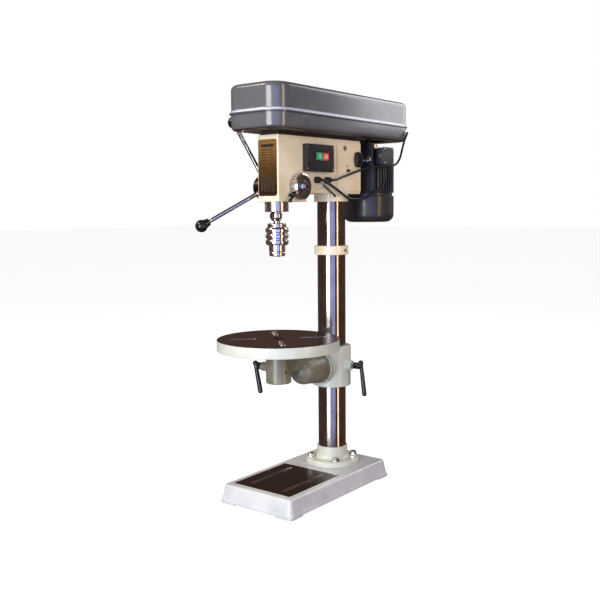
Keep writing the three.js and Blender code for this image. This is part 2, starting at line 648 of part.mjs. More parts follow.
place('chuck_body', chuckBody(), brightSteel);
place('chuck_sleeve', turned([
  [CHUCK.noseR + GAP, CHUCK.sleeveBottom], [CHUCK.sleeve - 3, CHUCK.sleeveBottom],
  [CHUCK.sleeve, CHUCK.sleeveBottom + 3], [CHUCK.sleeve, CHUCK.sleeveTop - 2],
  [CHUCK.sleeve - 2, CHUCK.sleeveTop],
  [CHUCK.noseR + GAP, CHUCK.sleeveTop], [CHUCK.noseR + GAP, CHUCK.sleeveBottom],
], 0, SPINDLE_Y, 28), brightSteel);
jawTurns.forEach((turn, i) => place(`chuck_jaw_${i + 1}`, chuckJaw(turn), brightSteel));

// ---- belt guard: tray on the head, hinged lid ---------------------------------------------------
const guardOutline = (inset) => roundedOutline(
  -GUARD.halfWidth + inset, GUARD.halfWidth - inset, GUARD.front + inset, GUARD.rear - inset,
  GUARD.corner - inset,
);

function guardTray() {
  const { bottom, seam, wall } = GUARD;
  const shaftSlot = roundedOutline(-44, 44, MOTOR_Y - 54, MOTOR_Y + 44, 43.9);
  return cut(
    join(
      raised(guardOutline(4), bottom, bottom + 5),
      raised(guardOutline(0), bottom + 4, seam),
      raised(headOutline(5, HEAD.rear - 4), HEAD.top + GAP, bottom + 1, 3),
    ),
    raised(guardOutline(4 + wall), bottom + wall, seam + 5),
    upright(0, SPINDLE_Y, HEAD.top - 5, bottom + 10, 23, 23, 20),
    raised(shaftSlot, HEAD.top - 5, bottom + 10),
  );
}

function guardLid() {
  const { seam, top, wall } = GUARD;
  const low = seam + GAP;
  const edge = 9;
  const shell = new THREE.ExtrudeGeometry(guardOutline(edge), {
    depth: top - edge - (seam - 20),
    bevelThickness: edge,
    bevelSize: edge,
    bevelSegments: 2,
    curveSegments: 4,
  });
  const dome = solid(shell.translate(0, 0, seam - 20));
  const far = 900;
  const trimmed = cut(dome, box(-far, far, -far, far, seam - 100, low + 1));
  return cut(
    join(trimmed, raised(guardOutline(-LIP.out), low, low + LIP.height)),
    raised(guardOutline(wall), low - 5, top - edge),
    raised(guardOutline(edge), top - edge - 1, top - wall),
  );
}

const hingeZ = GUARD.seam - 4;
const hingeY = GUARD.rear + 4.5;
place('guard_tray', guardTray(), greyPaint);
place('guard_lid', guardLid(), greyPaint);
place('guard_hinge_pin', bar([-50, hingeY, hingeZ], [50, hingeY, hingeZ], 3.4, 3.4, 12), brightSteel);

// ---- pulleys and belt ---------------------------------------------------------------------------
function stepPulley(y, steps, bore, hubBottom, hubRadius) {
  const { stepHeight, groove, beltHeight, bottom } = PULLEY;
  const outline = [[bore, hubBottom], [hubRadius, hubBottom], [hubRadius, bottom]];
  const flange = (stepHeight - beltHeight) / 2 - GAP;
  steps.forEach((radius, i) => {
    const low = bottom + i * stepHeight;
    outline.push([radius, low + flange], [radius - groove, low + flange + 2.2]);
    outline.push([radius - groove, low + stepHeight - flange - 2.2], [radius, low + stepHeight - flange]);
  });
  const top = bottom + steps.length * stepHeight;
  outline.push([hubRadius, top], [hubRadius, top + 5], [bore, top + 5], [bore, hubBottom]);
  return turned(outline, 0, y, 18);
}

// The belt runs round one step of each pulley, with straight runs that touch both circles.
function driveBelt() {
  const spindleR = SPINDLE_STEPS[BELT_STEP] - PULLEY.groove + GAP;
  const motorR = MOTOR_STEPS[BELT_STEP] - PULLEY.groove + GAP;
  const lean = Math.asin((spindleR - motorR) / (MOTOR_Y - SPINDLE_Y));
  const loop = (grow, into) => {
    into.absarc(0, SPINDLE_Y, spindleR + grow, Math.PI - lean, 2 * Math.PI + lean, false);
    into.absarc(0, MOTOR_Y, motorR + grow, lean, Math.PI - lean, false);
    return into;
  };
  const shape = loop(6, new THREE.Shape());
  shape.holes.push(loop(0, new THREE.Path()));
  const z = PULLEY.bottom + PULLEY.stepHeight * (BELT_STEP + 0.5);
  return raised(shape, z - 2.2, z + 2.2, 10);
}

place('spindle_pulley', stepPulley(SPINDLE_Y, SPINDLE_STEPS, 8.6, 869, 13), finish(0xa9adb2, 0.4, 1));
place('pulley_bearing', ring(0, SPINDLE_Y, QUILL.top + 4, HEAD.top + 6, 22, 13.3, 20), brightSteel);
place('motor_pulley', stepPulley(MOTOR_Y, MOTOR_STEPS, 7.3, PULLEY.bottom - 6, 13), finish(0xa9adb2, 0.4, 1));
place('drive_belt', driveBelt(), blackRubber);

// ---- motor on its sliding mount -----------------------------------------------------------------
function motorMount() {
  const { y, thick, halfWidth, bottom, top, rodX, rodZ, rodR, rodFront } = MOUNT;
  const plate = box(-halfWidth, halfWidth, y, y + thick, bottom, top);
  const rod = (x) => bar([x, rodFront, rodZ], [x, y + 1, rodZ], rodR, rodR, 20);
  const rods = [rod(-rodX), rod(rodX)];
  return join(plate, ...rods);
}

function motorFrame() {
  const { radius, fin, seam, top, finCount } = MOTOR;
  const y = MOTOR_Y;
  let body = turned([
    [0, seam + GAP], [radius, seam + GAP], [radius, top - 24], [radius - 5, top - 12], [radius - 18, top],
    [16, top], [16, top + 6], [0, top + 6],
  ], 0, y, 24);
  const fins = Array.from({ length: finCount }, (_, i) => {
    const geometry = new THREE.BoxGeometry(8, 3, 66).translate(fin - 4, 0, seam + 6 + 33);
    return solid(geometry.rotateZ(((i + 0.5) * 2 * Math.PI) / finCount).translate(0, y, 0));
  });
  const face = MOUNT.y + MOUNT.thick + GAP;
  const pads = box(-40, 40, face, y - 20, seam + 18, top - 8);
  body = join(body, ...fins, pads, box(TERMINAL.fromX - 16, TERMINAL.fromX - GAP, 122, 152, 828, 860));
  return cut(
    body,
    box(-80, 80, face - 20, face, seam - 5, top + 20),
    upright(0, y, seam - 5, top + 20, 8.3, 8.3, 20),
    upright(0, y, seam - 5, top - 16, 40, 40, 28),
  );
}

function fanCover() {
  const { fin, bottom, seam } = MOTOR;
  const radius = fin;
  return turned([
    [0, bottom], [radius - 20, bottom], [radius - 8, bottom + 5], [radius - 2, bottom + 13],
    [radius, bottom + 24], [radius, seam], [radius - 3, seam], [radius - 3, bottom + 25],
    [radius - 10, bottom + 9], [radius - 21, bottom + 3],
    [0, bottom + 3],
  ], 0, MOTOR_Y, 24);
}

function motorFan() {
  const hub = ring(0, MOTOR_Y, 694, 712, 14, 8.3, 16);
  const disc = ring(0, MOTOR_Y, 694, 697, 50, 10, 20);
  const blades = Array.from({ length: 6 }, (_, i) =>
    box(10, 48, -1.5, 1.5, 694, 714).rotate([0, 0, i * 60]).translate([0, MOTOR_Y, 0]));
  return join(hub, disc, ...blades);
}

place('motor_mount', motorMount(), motorPaint);
place('motor_frame', motorFrame(), motorPaint);
place('motor_fan_cover', fanCover(), motorPaint);
place('motor_rotor', join(
  upright(0, MOTOR_Y, 684, 960, 7, 7, 16), upright(0, MOTOR_Y, 722, 846, 34, 34, 24),
), darkSteel);
place('motor_fan', motorFan(), blackPlastic);
place('terminal_box', box(
  TERMINAL.fromX, TERMINAL.toX, TERMINAL.fromY, TERMINAL.toY, TERMINAL.bottom, TERMINAL.top,
), motorPaint);
place('tension_knob', ontoSide(join(
  bar([COVER.thick + 1, 0, 0], [16, 0, 0], 15, 13, 12), bar([-6.5, 0, 0], [4, 0, 0], 4, 4, 12),
), 43, MOUNT.rodZ), blackPlastic);

// ---- glands and leads ---------------------------------------------------------------------------
function gland(y, z) {
  return ontoSide(join(
    bar([GAP, 0, 0], [7, 0, 0], 9, 9, 6), bar([6, 0, 0], [15, 0, 0], 7, 5.5, 16),
  ), y, z);
}

place('front_gland', gland(-117, 778), blackPlastic);
place('rear_gland', gland(-79, 778), blackPlastic);

const leadEnd = (y, z, out) => {
  const normal = new THREE.Vector3(Math.cos(sideSlope), -Math.sin(sideSlope), 0);
  return [sideX(y) + normal.x * out, y + normal.y * out, z];
};

const guardLead = [
  leadEnd(-79, 778, 15.4), leadEnd(-79, 778, 19), [62, -66, 779], [58, -42, 784], [56, 4.7, 795],
  [60, 59, 809], [80, 100, 817], [93, 128, 818], [95, 160, 824], [93, 184, 841], [90, 200, 864],
  [88, 216, 890], [86, 230, 905], [84.6, 236, 910], [81.2, 239, 911],
];
const motorLead = [
  leadEnd(-117, 778, 15.4), leadEnd(-117, 778, 19), [60, -101, 772], [54, -60, 760], [52.5, -30, 748],
  [52, -2, 736], [50, 22, 733], [50, 62, 734], [56, 92, 742], [70, 112, 757], [79, 125, 775], [81, 131, 795],
  [80, 134, 812], [80, 134, 821.6],
];
const earthLead = [
  leadEnd(-97, 766, 0.6), leadEnd(-96, 766, 4), [47, -88, 761], [48, -74, 753], [48, -60, 746],
  [46, -48, 741.5], [41, -41, 739], [36, -37, 739.5], [34, -35.5, 743],
];
place('guard_switch_lead', tube(guardLead, LEAD.radius, 8, 24), blackRubber);
place('motor_lead', tube(motorLead, 3.2, 8, 22), blackRubber);
place('earth_lead', tube(earthLead, 1.9, 8, 8), blackRubber);

export default drill;
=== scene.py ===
# A bench drill press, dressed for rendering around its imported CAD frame.
import math

import bpy
from mathutils import Matrix, Vector


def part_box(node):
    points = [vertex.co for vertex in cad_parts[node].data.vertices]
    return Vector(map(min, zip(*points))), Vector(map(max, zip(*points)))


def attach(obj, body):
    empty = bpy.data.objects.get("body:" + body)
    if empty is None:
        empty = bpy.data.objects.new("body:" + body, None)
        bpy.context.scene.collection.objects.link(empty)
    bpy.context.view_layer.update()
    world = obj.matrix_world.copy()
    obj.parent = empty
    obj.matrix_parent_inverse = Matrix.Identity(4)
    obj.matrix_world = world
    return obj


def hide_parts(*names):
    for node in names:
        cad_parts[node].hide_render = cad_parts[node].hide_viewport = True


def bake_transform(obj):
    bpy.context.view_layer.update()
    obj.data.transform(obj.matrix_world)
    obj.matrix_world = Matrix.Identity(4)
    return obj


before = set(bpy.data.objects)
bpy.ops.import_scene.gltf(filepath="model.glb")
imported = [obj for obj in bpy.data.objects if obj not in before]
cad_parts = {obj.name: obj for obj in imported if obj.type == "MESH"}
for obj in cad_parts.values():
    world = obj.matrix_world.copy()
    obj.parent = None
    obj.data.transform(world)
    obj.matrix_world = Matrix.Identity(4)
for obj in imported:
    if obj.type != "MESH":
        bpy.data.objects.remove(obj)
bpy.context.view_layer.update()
mm = 0.001
tubeLow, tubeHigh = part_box("column_tube")
columnAxis = Vector(((tubeLow.x + tubeHigh.x) / 2, (tubeLow.y + tubeHigh.y) / 2, 0))  # pieces are drawn from here
print("frame loaded")


cameraLook = {"place": (1251.9, -1746.8, 703.9), "turn": 0.66, "dip": 0.10656, "roll": -0.00868, "lens": 49.96}


def makeCamera(look):
    bpy.ops.object.camera_add()
    camera = bpy.context.object
    camera.data.sensor_width = 36
    camera.data.lens = look["lens"]
    turn = Matrix.Rotation(look["turn"], 4, "Z") @ Matrix.Rotation(math.pi / 2 - look["dip"], 4, "X")
    turn = turn @ Matrix.Rotation(look["roll"], 4, "Z")
    camera.matrix_world = Matrix.Translation(columnAxis + Vector(look["place"]) * mm) @ turn
    bpy.context.scene.camera = camera


makeCamera(cameraLook)
print("camera set")


def take(obj):  # makes one object the only selected and active one
    bpy.ops.object.select_all(action="DESELECT")
    obj.select_set(True)
    bpy.context.view_layer.objects.active = obj
    return obj


def editAll(obj):
    take(obj)
    bpy.ops.object.mode_set(mode="EDIT")
    bpy.ops.mesh.select_all(action="SELECT")


def leaveEdit():
    bpy.ops.object.mode_set(mode="OBJECT")


def closeUp():  # in edit mode: seams and poles closed, faces turned outwards
    bpy.ops.mesh.select_all(action="SELECT")
    bpy.ops.mesh.remove_doubles(threshold=0.001 * mm)
    bpy.ops.mesh.delete_loose()
    bpy.ops.mesh.select_all(action="SELECT")
    bpy.ops.mesh.normals_make_consistent(inside=False)


def apply(obj, kind, **settings):  # adds a modifier, sets it and applies it
    take(obj)
    bpy.ops.object.modifier_add(type=kind)
    modifier = obj.modifiers[-1]
    for name, value in settings.items():
        setattr(modifier, name, value)
    bpy.ops.object.modifier_apply(modifier=modifier.name)
    return obj


def soften(obj, width, segments=3, angle=30):
    return apply(obj, "BEVEL", width=width * mm, segments=segments, limit_method="ANGLE",
                 angle_limit=math.radians(angle))


def combine(obj, how, others):
    for other in others:
        apply(obj, "BOOLEAN", operation=how, solver="EXACT", object=other)
        bpy.data.objects.remove(other)
    return obj


def carve(obj, *cutters):
    return combine(obj, "DIFFERENCE", cutters)


def weld(obj, *others):
    return combine(obj, "UNION", others)


def gather(*objs):  # several loose solids become one mesh
    take(objs[0])
    for obj in objs[1:]:
        obj.select_set(True)
    bpy.ops.object.join()
    return bpy.context.object


def cast(obj, grain, smooth=6):  # overlapping solids flow together, as in a sand casting
    apply(obj, "REMESH", mode="VOXEL", voxel_size=grain * mm)
    return apply(obj, "SMOOTH", factor=0.5, iterations=smooth)


def rounded(corners, steps=6):  # an outline; a corner's third number is its radius
    line = []
    for i, corner in enumerate(corners):
        here = Vector(corner[:2])
        if len(corner) < 3:
            line.append(here)
            continue
        back = (Vector(corners[i - 1][:2]) - here).normalized()
        ahead = (Vector(corners[(i + 1) % len(corners)][:2]) - here).normalized()
        half = back.angle(ahead) / 2
        middle = here + (back + ahead).normalized() * corner[2] / math.sin(half)
        start = here + back * corner[2] / math.tan(half) - middle
        end = here + ahead * corner[2] / math.tan(half) - middle
        sweep = math.atan2(start.x * end.y - start.y * end.x, start.dot(end))
        for step in range(steps + 1):
            turn = Matrix.Rotation(sweep * step / steps, 2)
            line.append(middle + turn @ start)
    return line


def at(x=0, y=0, z=0, turn=0):  # an upright place, in mm from the column's axis
    return Matrix.Translation(Vector((x, y, z)) * mm) @ Matrix.Rotation(turn, 4, "Z")


sideways = Matrix(((0, 0, 1, 0), (1, 0, 0, 0), (0, 1, 0, 0), (0, 0, 0, 1)))  # own Z along X, own X along Y
standing = Matrix(((1, 0, 0, 0), (0, 0, -1, 0), (0, 1, 0, 0), (0, 0, 0, 1)))  # own Z to the front, own Y up


def polar(radius, degrees):
    return radius * math.cos(math.radians(degrees)), radius * math.sin(math.radians(degrees))


def along(start, ahead):  # a place whose own Z points ahead
    turn = Vector((0, 0, 1)).rotation_difference(Vector(ahead)).to_matrix().to_4x4()
    return Matrix.Translation(Vector(start) * mm) @ turn


def fresh(add, **settings):  # a new object, alone in the selection
    bpy.ops.object.select_all(action="DESELECT")
    add(**settings)
    return bpy.context.object


def settle(obj, place):  # closes the mesh, leaves edit mode and sets the mesh in its place
    closeUp()
    leaveEdit()
    obj.data.transform(place or at())
    return obj


def turned(outline, place=None, steps=96):  # radius, height pairs spun about the place's own Z
    obj = fresh(bpy.ops.mesh.primitive_circle_add, vertices=len(outline), fill_type="NOTHING")
    for vertex, (radius, height) in zip(obj.data.vertices, outline):
        vertex.co = Vector((radius, 0, height)) * mm
    editAll(obj)
    bpy.ops.mesh.spin(steps=steps, angle=2 * math.pi, center=(0, 0, 0), axis=(0, 0, 1))
    return settle(obj, place)


def lathe(corners, place, steps=96, arc=3):  # turned from an outline with rounded corners
    return turned(rounded(corners, arc), place, steps)


def slab(outline, low, high, place=None):  # a flat outline drawn out from low to high
    obj = fresh(bpy.ops.mesh.primitive_circle_add, vertices=len(outline), fill_type="NGON")
    for vertex, (x, y) in zip(obj.data.vertices, outline):
        vertex.co = Vector((x, y, low)) * mm
    editAll(obj)
    bpy.ops.mesh.extrude_region_move(TRANSFORM_OT_translate={"value": (0, 0, (high - low) * mm)})
    return settle(obj, place)


def block(low, high, place=None):
    obj = fresh(bpy.ops.mesh.primitive_cube_add, size=1)
    size = Vector(high) - Vector(low)
    middle = (Vector(high) + Vector(low)) / 2
    for vertex in obj.data.vertices:
        vertex.co = Vector(c * s + m for c, s, m in zip(vertex.co, size, middle)) * mm
    obj.data.transform(place or at())
    return obj


def bar(start, end, radius, endRadius=None, sides=48):  # a round bar or cone between two points
    ahead = Vector(end) - Vector(start)
    obj = fresh(bpy.ops.mesh.primitive_cone_add, vertices=sides, radius1=radius * mm,
                radius2=(radius if endRadius is None else endRadius) * mm, depth=ahead.length * mm)
    obj.data.transform(along((Vector(start) + Vector(end)) / 2, ahead))
    return obj


def ball(centre, radius, stretch=(1, 1, 1), segments=48):
    obj = fresh(bpy.ops.mesh.primitive_uv_sphere_add, segments=segments, ring_count=segments // 2,
                radius=radius * mm)
    obj.data.transform(at(*centre) @ Matrix.Diagonal((*stretch, 1)))
    return obj


def lofted(loops):  # equal loops of points joined up in order; both ends are filled if open
    count = len(loops[0])
    obj = fresh(bpy.ops.mesh.primitive_grid_add, x_subdivisions=count, y_subdivisions=len(loops) - 1)
    for i, vertex in enumerate(obj.data.vertices):
        vertex.co = Vector(loops[i // (count + 1)][i % (count + 1) % count]) * mm
    editAll(obj)
    bpy.ops.mesh.remove_doubles(threshold=0.001 * mm)
    bpy.ops.mesh.fill_holes(sides=0)
    return settle(obj, None)


def oblong(x0, x1, y0, y1, radius, steps=8):  # a rectangle with round corners
    return rounded([(x0, y0, radius), (x1, y0, radius), (x1, y1, radius), (x0, y1, radius)], steps)


def raisedLoops(outlineOf, stations):  # loops from an outline that grows, at (grow, height) stations
    return [[(x, y, z) for x, y in outlineOf(grow)] for grow, z in stations]


def hexagon(across):
    radius = across / math.sqrt(3)
    return [(radius * math.cos(i * math.pi / 3), radius * math.sin(i * math.pi / 3)) for i in range(6)]


def hexHead(across, height, place):  # a bolt head or nut, its corners turned off
    head = slab(hexagon(across), 0, height, place)
    crown = across / 2
    dome = turned([(0, -1), (crown * 1.3, -1), (crown * 1.3, height * 0.55), (crown * 0.93, height), (0, height)],
                  place, 32)
    return combine(head, "INTERSECT", [dome])


def copyNode(node):  # a CAD node's own shape, its loose triangles merged into clean faces
    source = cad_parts[node]
    obj = bpy.data.objects.new(node + "_copy", source.data.copy())
    bpy.context.scene.collection.objects.link(obj)
    take(obj)
    bpy.ops.mesh.customdata_custom_splitnormals_clear()
    obj.data.materials.clear()
    obj.data.transform(Matrix.Translation(-columnAxis))
    editAll(obj)
    bpy.ops.mesh.remove_doubles(threshold=0.01 * mm)
    bpy.ops.mesh.dissolve_limited(angle_limit=math.radians(1))
    bpy.ops.mesh.normals_make_consistent(inside=False)
    leaveEdit()
    return obj


def done(obj, name, material, body, nodes=(), angle=32, others=()):
    # names a finished piece, gives it its finish and sets it on its body; others holds (finish, test of a face) pairs
    take(obj)
    obj.name = name
    obj.data.name = name
    obj.data.materials.clear()
    obj.data.materials.append(material)
    for i, (finish, test) in enumerate(others):
        obj.data.materials.append(finish)
        for face in obj.data.polygons:
            if test(face.center / mm, face.normal):
                face.material_index = i + 1
    bpy.ops.object.shade_smooth_by_angle(angle=math.radians(angle))
    apply(obj, "WEIGHTED_NORMAL", keep_sharp=True)
    obj.data.transform(Matrix.Translation(columnAxis))
    if body:
        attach(obj, body)
    if nodes:
        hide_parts(*nodes)
    return obj


def colour(code):  # an sRGB hex value as linear light
    parts = [int(code[i:i + 2], 16) / 255 for i in (0, 2, 4)]
    return tuple(c / 12.92 if c <= 0.04045 else ((c + 0.055) / 1.055) ** 2.4 for c in parts) + (1,)


def addNode(tree, kind, settings=None, links=None):
    node = tree.nodes.new(kind)
    for name, value in (settings or {}).items():
        if isinstance(name, str) and hasattr(node, name):
            setattr(node, name, value)
        else:
            node.inputs[name].default_value = value
    for name, source in (links or {}).items():
        tree.links.new(source, node.inputs[name])
    return node


def startMaterial(name, settings):
    material = bpy.data.materials.new(name)
    material.use_nodes = True
    tree = material.node_tree
    tree.nodes.clear()
    shader = addNode(tree, "ShaderNodeBsdfPrincipled", settings)
    addNode(tree, "ShaderNodeOutputMaterial", None, {"Surface": shader.outputs[0]})
    where = addNode(tree, "ShaderNodeTexCoord").outputs["Object"]
    return material, tree, shader, where


def noiseOf(tree, where, size, stretch=(1, 1, 1), detail=3, rough=0.5):  # features about size mm across
    placed = addNode(tree, "ShaderNodeMapping", {"Scale": stretch}, {"Vector": where}).outputs[0]
    return addNode(tree, "ShaderNodeTexNoise", {"Scale": 1 / (size * mm), "Detail": detail, "Roughness": rough},
                   {"Vector": placed}).outputs[0]


def rampOf(tree, source, stops):
    ramp = addNode(tree, "ShaderNodeValToRGB", None, {"Fac": source})
    line = ramp.color_ramp.elements
    for i, (place, value) in enumerate(stops):
        stop = line[i] if i < 2 else line.new(place)
        stop.position = place
        stop.color = value
    return ramp.outputs[0]


def spread(tree, source, low, high):
    return addNode(tree, "ShaderNodeMapRange", {"From Min": 0.3, "From Max": 0.7, "To Min": low, "To Max": high},
                   {"Value": source}).outputs[0]


def mottle(tree, shader, source, deep, tone, low, high):  # the base colour drifts between two tones
    tint = rampOf(tree, source, [(low, colour(deep)), (high, colour(tone))])
    tree.links.new(tint, shader.inputs["Base Color"])


def scuff(tree, shader, source, low, high):  # the roughness drifts between two values
    tree.links.new(spread(tree, source, low, high), shader.inputs["Roughness"])


def bumpOf(tree, shader, height, depth, strength=1.0):
    bump = addNode(tree, "ShaderNodeBump", {"Distance": depth * mm, "Strength": strength}, {"Height": height})
    tree.links.new(bump.outputs[0], shader.inputs["Normal"])


def enamel(name, clean, shade, rough, peel, depth, coat=0.3):
    # stoved enamel over filled iron or pressed steel: even gloss, faint orange peel, a little handling grime
    material, tree, shader, where = startMaterial(name, {"IOR": 1.5, "Coat Weight": coat, "Coat Roughness": 0.12})
    mottle(tree, shader, noiseOf(tree, where, 70, detail=4), shade, clean, 0.32, 0.62)
    scuff(tree, shader, noiseOf(tree, where, 22, detail=5), rough * 0.8, rough * 1.3)
    bumpOf(tree, shader, noiseOf(tree, where, peel, detail=2), depth)
    return material


def steel(name, tone, deep, rough, markSize, stretch, depth):
    # ground, turned or plated metal: fine tool marks that stretch the reflections one way
    material, tree, shader, where = startMaterial(name, {"Metallic": 1.0})
    marks = noiseOf(tree, where, markSize, stretch, detail=4, rough=0.6)
    mottle(tree, shader, noiseOf(tree, where, 45), deep, tone, 0.3, 0.7)
    scuff(tree, shader, marks, rough * 0.7, rough * 1.4)
    bumpOf(tree, shader, marks, depth, 0.6)
    return material


def plateWithPaintedLight(name, s):
    # brushed anodised foil whose colour is painted light: painted shade at the bottom of the plate, fading to a painted
    # gold highlight at its top
    material, tree, shader, where = startMaterial(name, {"Metallic": 0.7, "Roughness": 0.34})
    height = addNode(tree, "ShaderNodeSeparateXYZ", None, {0: where}).outputs["Z"]
    part = addNode(tree, "ShaderNodeMapRange", {"From Min": s["bottom"] * mm, "From Max": s["top"] * mm},
                   {0: height}).outputs[0]
    tint = rampOf(tree, part, [(0.1, colour(s["low"])), (0.55, colour(s["middle"])), (0.95, colour(s["high"]))])
    tree.links.new(tint, shader.inputs["Base Color"])
    bumpOf(tree, shader, noiseOf(tree, where, 2.5, (9, 1, 0.3), detail=4), 0.01, 0.6)
    return material


def machined(name, tone, deep, centre, rings):
    # surface-ground cast iron, oiled brown: cutter marks in rings about a centre, or planed lines
    material, tree, shader, where = startMaterial(name, {"Metallic": 0.55, "Specular IOR Level": 0.5})
    placed = addNode(tree, "ShaderNodeMapping", {"Location": centre}, {"Vector": where}).outputs[0]
    shape = {"wave_type": "RINGS", "rings_direction": "Z"} if rings else {"wave_type": "BANDS", "bands_direction": "X"}
    pitch = 3.2  # real marks are near 0.5 mm, drawn coarser so that they show
    marks = addNode(tree, "ShaderNodeTexWave", {**shape, "Scale": 2 * math.pi / (20 * pitch * mm), "Distortion": 0.6,
                                               "Detail": 3.0}, {"Vector": placed}).outputs["Fac"]
    cloud = noiseOf(tree, where, 40, detail=5, rough=0.6)
    tint = rampOf(tree, cloud, [(0.28, colour(deep)), (0.68, colour(tone))])
    worn = addNode(tree, "ShaderNodeMix", {"data_type": "RGBA", "blend_type": "MULTIPLY", "Factor": 0.35})
    lines = rampOf(tree, marks, [(0.2, (0.55, 0.55, 0.55, 1)), (0.8, (1, 1, 1, 1))])
    tree.links.new(tint, worn.inputs[6])
    tree.links.new(lines, worn.inputs[7])
    tree.links.new(worn.outputs[2], shader.inputs["Base Color"])
    scuff(tree, shader, cloud, 0.22, 0.38)
    bumpOf(tree, shader, marks, 0.05, 0.5)
    return material


def moulded(name, tone, deep, rough, grain, depth):
    # injection moulded or pressed plastic: fine spark-eroded grain, slightly greyed by handling
    material, tree, shader, where = startMaterial(name, {"IOR": 1.46})
    cloud = noiseOf(tree, where, 18)
    mottle(tree, shader, cloud, deep, tone, 0.3, 0.7)
    scuff(tree, shader, cloud, rough * 0.85, rough * 1.2)
    bumpOf(tree, shader, noiseOf(tree, where, grain, detail=2), depth)
    return material


tableLow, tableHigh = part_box("work_table")
tableMiddle = (tableLow + tableHigh) / 2
creamEnamel = enamel("creamEnamelOnCastIron", "f6eac8", "e8d8ae", 0.3, 2.6, 0.05)
coverEnamel = enamel("warmCreamEnamelOnSheetSteel", "f7e8c6", "e9d5a6", 0.3, 3.2, 0.03)
# painted highlight: a paler grey enamel stands for the light caught along the lid's rolled lip
rimHighlightEnamel = enamel("wornGreyEnamelAtARolledEdge", "c4cbdb", "a9b2c6", 0.2, 4.0, 0.02, 0.6)
# painted shade: near-black enamel stands for the shadow under the guard tray
trayShadeEnamel = enamel("darkPrimerUnderPressedSteel", "2e2a28", "231f1e", 0.5, 3.0, 0.03)
greyEnamel = enamel("greyEnamelOnPressedSteel", "5e6063", "52555a", 0.2, 4.0, 0.02, 0.6)
paleEnamel = enamel("paleEnamelOnCastIron", "d6dacd", "c2c7b8", 0.38, 2.2, 0.09)
# painted shade: the arm's pale enamel is darkened to stand for the shadow under the table
armShadeEnamel = enamel("grimyPaleEnamelOnCastIron", "8a8776", "69654f", 0.36, 2.2, 0.09)
baseEnamel = enamel("whiteEnamelOnCastIron", "d2d4d3", "c0c3c5", 0.36, 2.2, 0.09)
motorEnamel = enamel("navyEnamelOnCastAluminium", "262931", "1b1d24", 0.42, 1.8, 0.06)
blackEnamel = enamel("blackEnamelOnSteel", "1d1d20", "131315", 0.3, 1.8, 0.04)
columnSteel = steel("groundBrownedSteelTube", "9c9795", "857f7d", 0.13, 6, (0.25, 0.25, 22), 0.006)
chromePlate = steel("chromePlatedSteel", "d9dbde", "c3c6ca", 0.1, 3, (1, 1, 1), 0.006)
turnedSteel = steel("turnedBrightSteel", "c9c9c8", "a9a8a6", 0.2, 3, (0.3, 0.3, 9), 0.015)
darkTurnedSteel = steel("oilBlackedTurnedSteel", "57504c", "3a3431", 0.22, 3, (0.3, 0.3, 9), 0.015)
greyTurnedSteel = steel("greyTurnedSteelFace", "7c7674", "544f4e", 0.3, 3, (0.3, 0.3, 9), 0.015)
# milled iron in the slots, painted much paler than the machined faces as a painted highlight along the slot edges
slotHighlightSteel = steel("milledBrightIron", "d9d4cc", "b8b2aa", 0.3, 3, (1, 1, 1), 0.02)
castAlloy = steel("dieCastAluminium", "b4b7ba", "95989b", 0.38, 1.2, (1, 1, 1), 0.05)
zincPlate = steel("yellowZincPlatedSteel", "c0a878", "94805a", 0.28, 1.5, (1, 1, 1), 0.02)
# painted light: the plate is painted dark at the bottom and bright gold at the top
paintedLightGoldPlate = plateWithPaintedLight("brushedGoldAnodisedPlate", {"low": "3d2a17", "middle": "76552a", "high": "c89c55",
                                                   "bottom": 739, "top": 869})
ringMarks = tuple(-c for c in tableMiddle)
tableFace = machined("turnedOiledCastIron", "42322f", "2a201e", ringMarks, True)
padFace = machined("planedOiledCastIron", "2e2220", "201816", (0, 0, 0), False)
blackPhenolic = moulded("blackPhenolicResin", "1c1c1f", "111113", 0.16, 1.0, 0.004)
blackAbs = moulded("blackAbs", "202023", "151517", 0.34, 0.9, 0.02)
blackRubber = moulded("blackPvcSheath", "1b1b1d", "121214", 0.42, 1.4, 0.02)
greenAbs = moulded("greenAbs", "35b877", "249a60", 0.3, 0.9, 0.01)
redAbs = moulded("redAbs", "ef5b49", "d64533", 0.3, 0.9, 0.01)
whiteInk = moulded("whiteScreenInk", "f2f2f0", "dededa", 0.45, 0.8, 0.004)
brownInk = moulded("brownEtchingInk", "3a2a16", "2a1d0e", 0.5, 0.8, 0.004)
beltRubber = moulded("neopreneBelt", "232324", "161617", 0.6, 1.2, 0.04)
print("materials made")

headSide = {"front": -251, "rear": 60, "frontHalf": 31, "rearHalf": 50}  # the right side leans out to the rear
sideSlope = math.atan2(headSide["rearHalf"] - headSide["frontHalf"], headSide["rear"] - headSide["front"])


def sideX(y):
    return headSide["frontHalf"] + (y - headSide["front"]) * math.tan(sideSlope)


def onSide(y, z):  # own X points out of the head's right side, own Y to the rear
    return at(sideX(y), y, z, -sideSlope)


def sidePlate(y, z):  # own Z points out of the head's right side, own X to the rear, own Y up
    return onSide(y, z) @ sideways


def leadEnd(y, z, out):
    return tuple((onSide(y, z) @ Vector((out * mm, 0, 0))) / mm)


def smoothRoute(points, steps):  # centripetal curve through the points
    points = [Vector(p) for p in points]
    points = [2 * points[0] - points[1]] + points + [2 * points[-1] - points[-2]]
    line = []
    for i in range(len(points) - 3):
        near = points[i:i + 4]
        t = [0]
        for a, b in zip(near, near[1:]):
            t.append(t[-1] + math.sqrt((b - a).length))
        for step in range(steps):
            s = t[1] + (t[2] - t[1]) * step / steps
            first = [near[k].lerp(near[k + 1], (s - t[k]) / (t[k + 1] - t[k])) for k in range(3)]
            second = [first[k].lerp(first[k + 1], (s - t[k]) / (t[k + 2] - t[k])) for k in range(2)]
            line.append(second[0].lerp(second[1], (s - t[1]) / (t[2] - t[1])))
    line.append(points[-2])
    return line


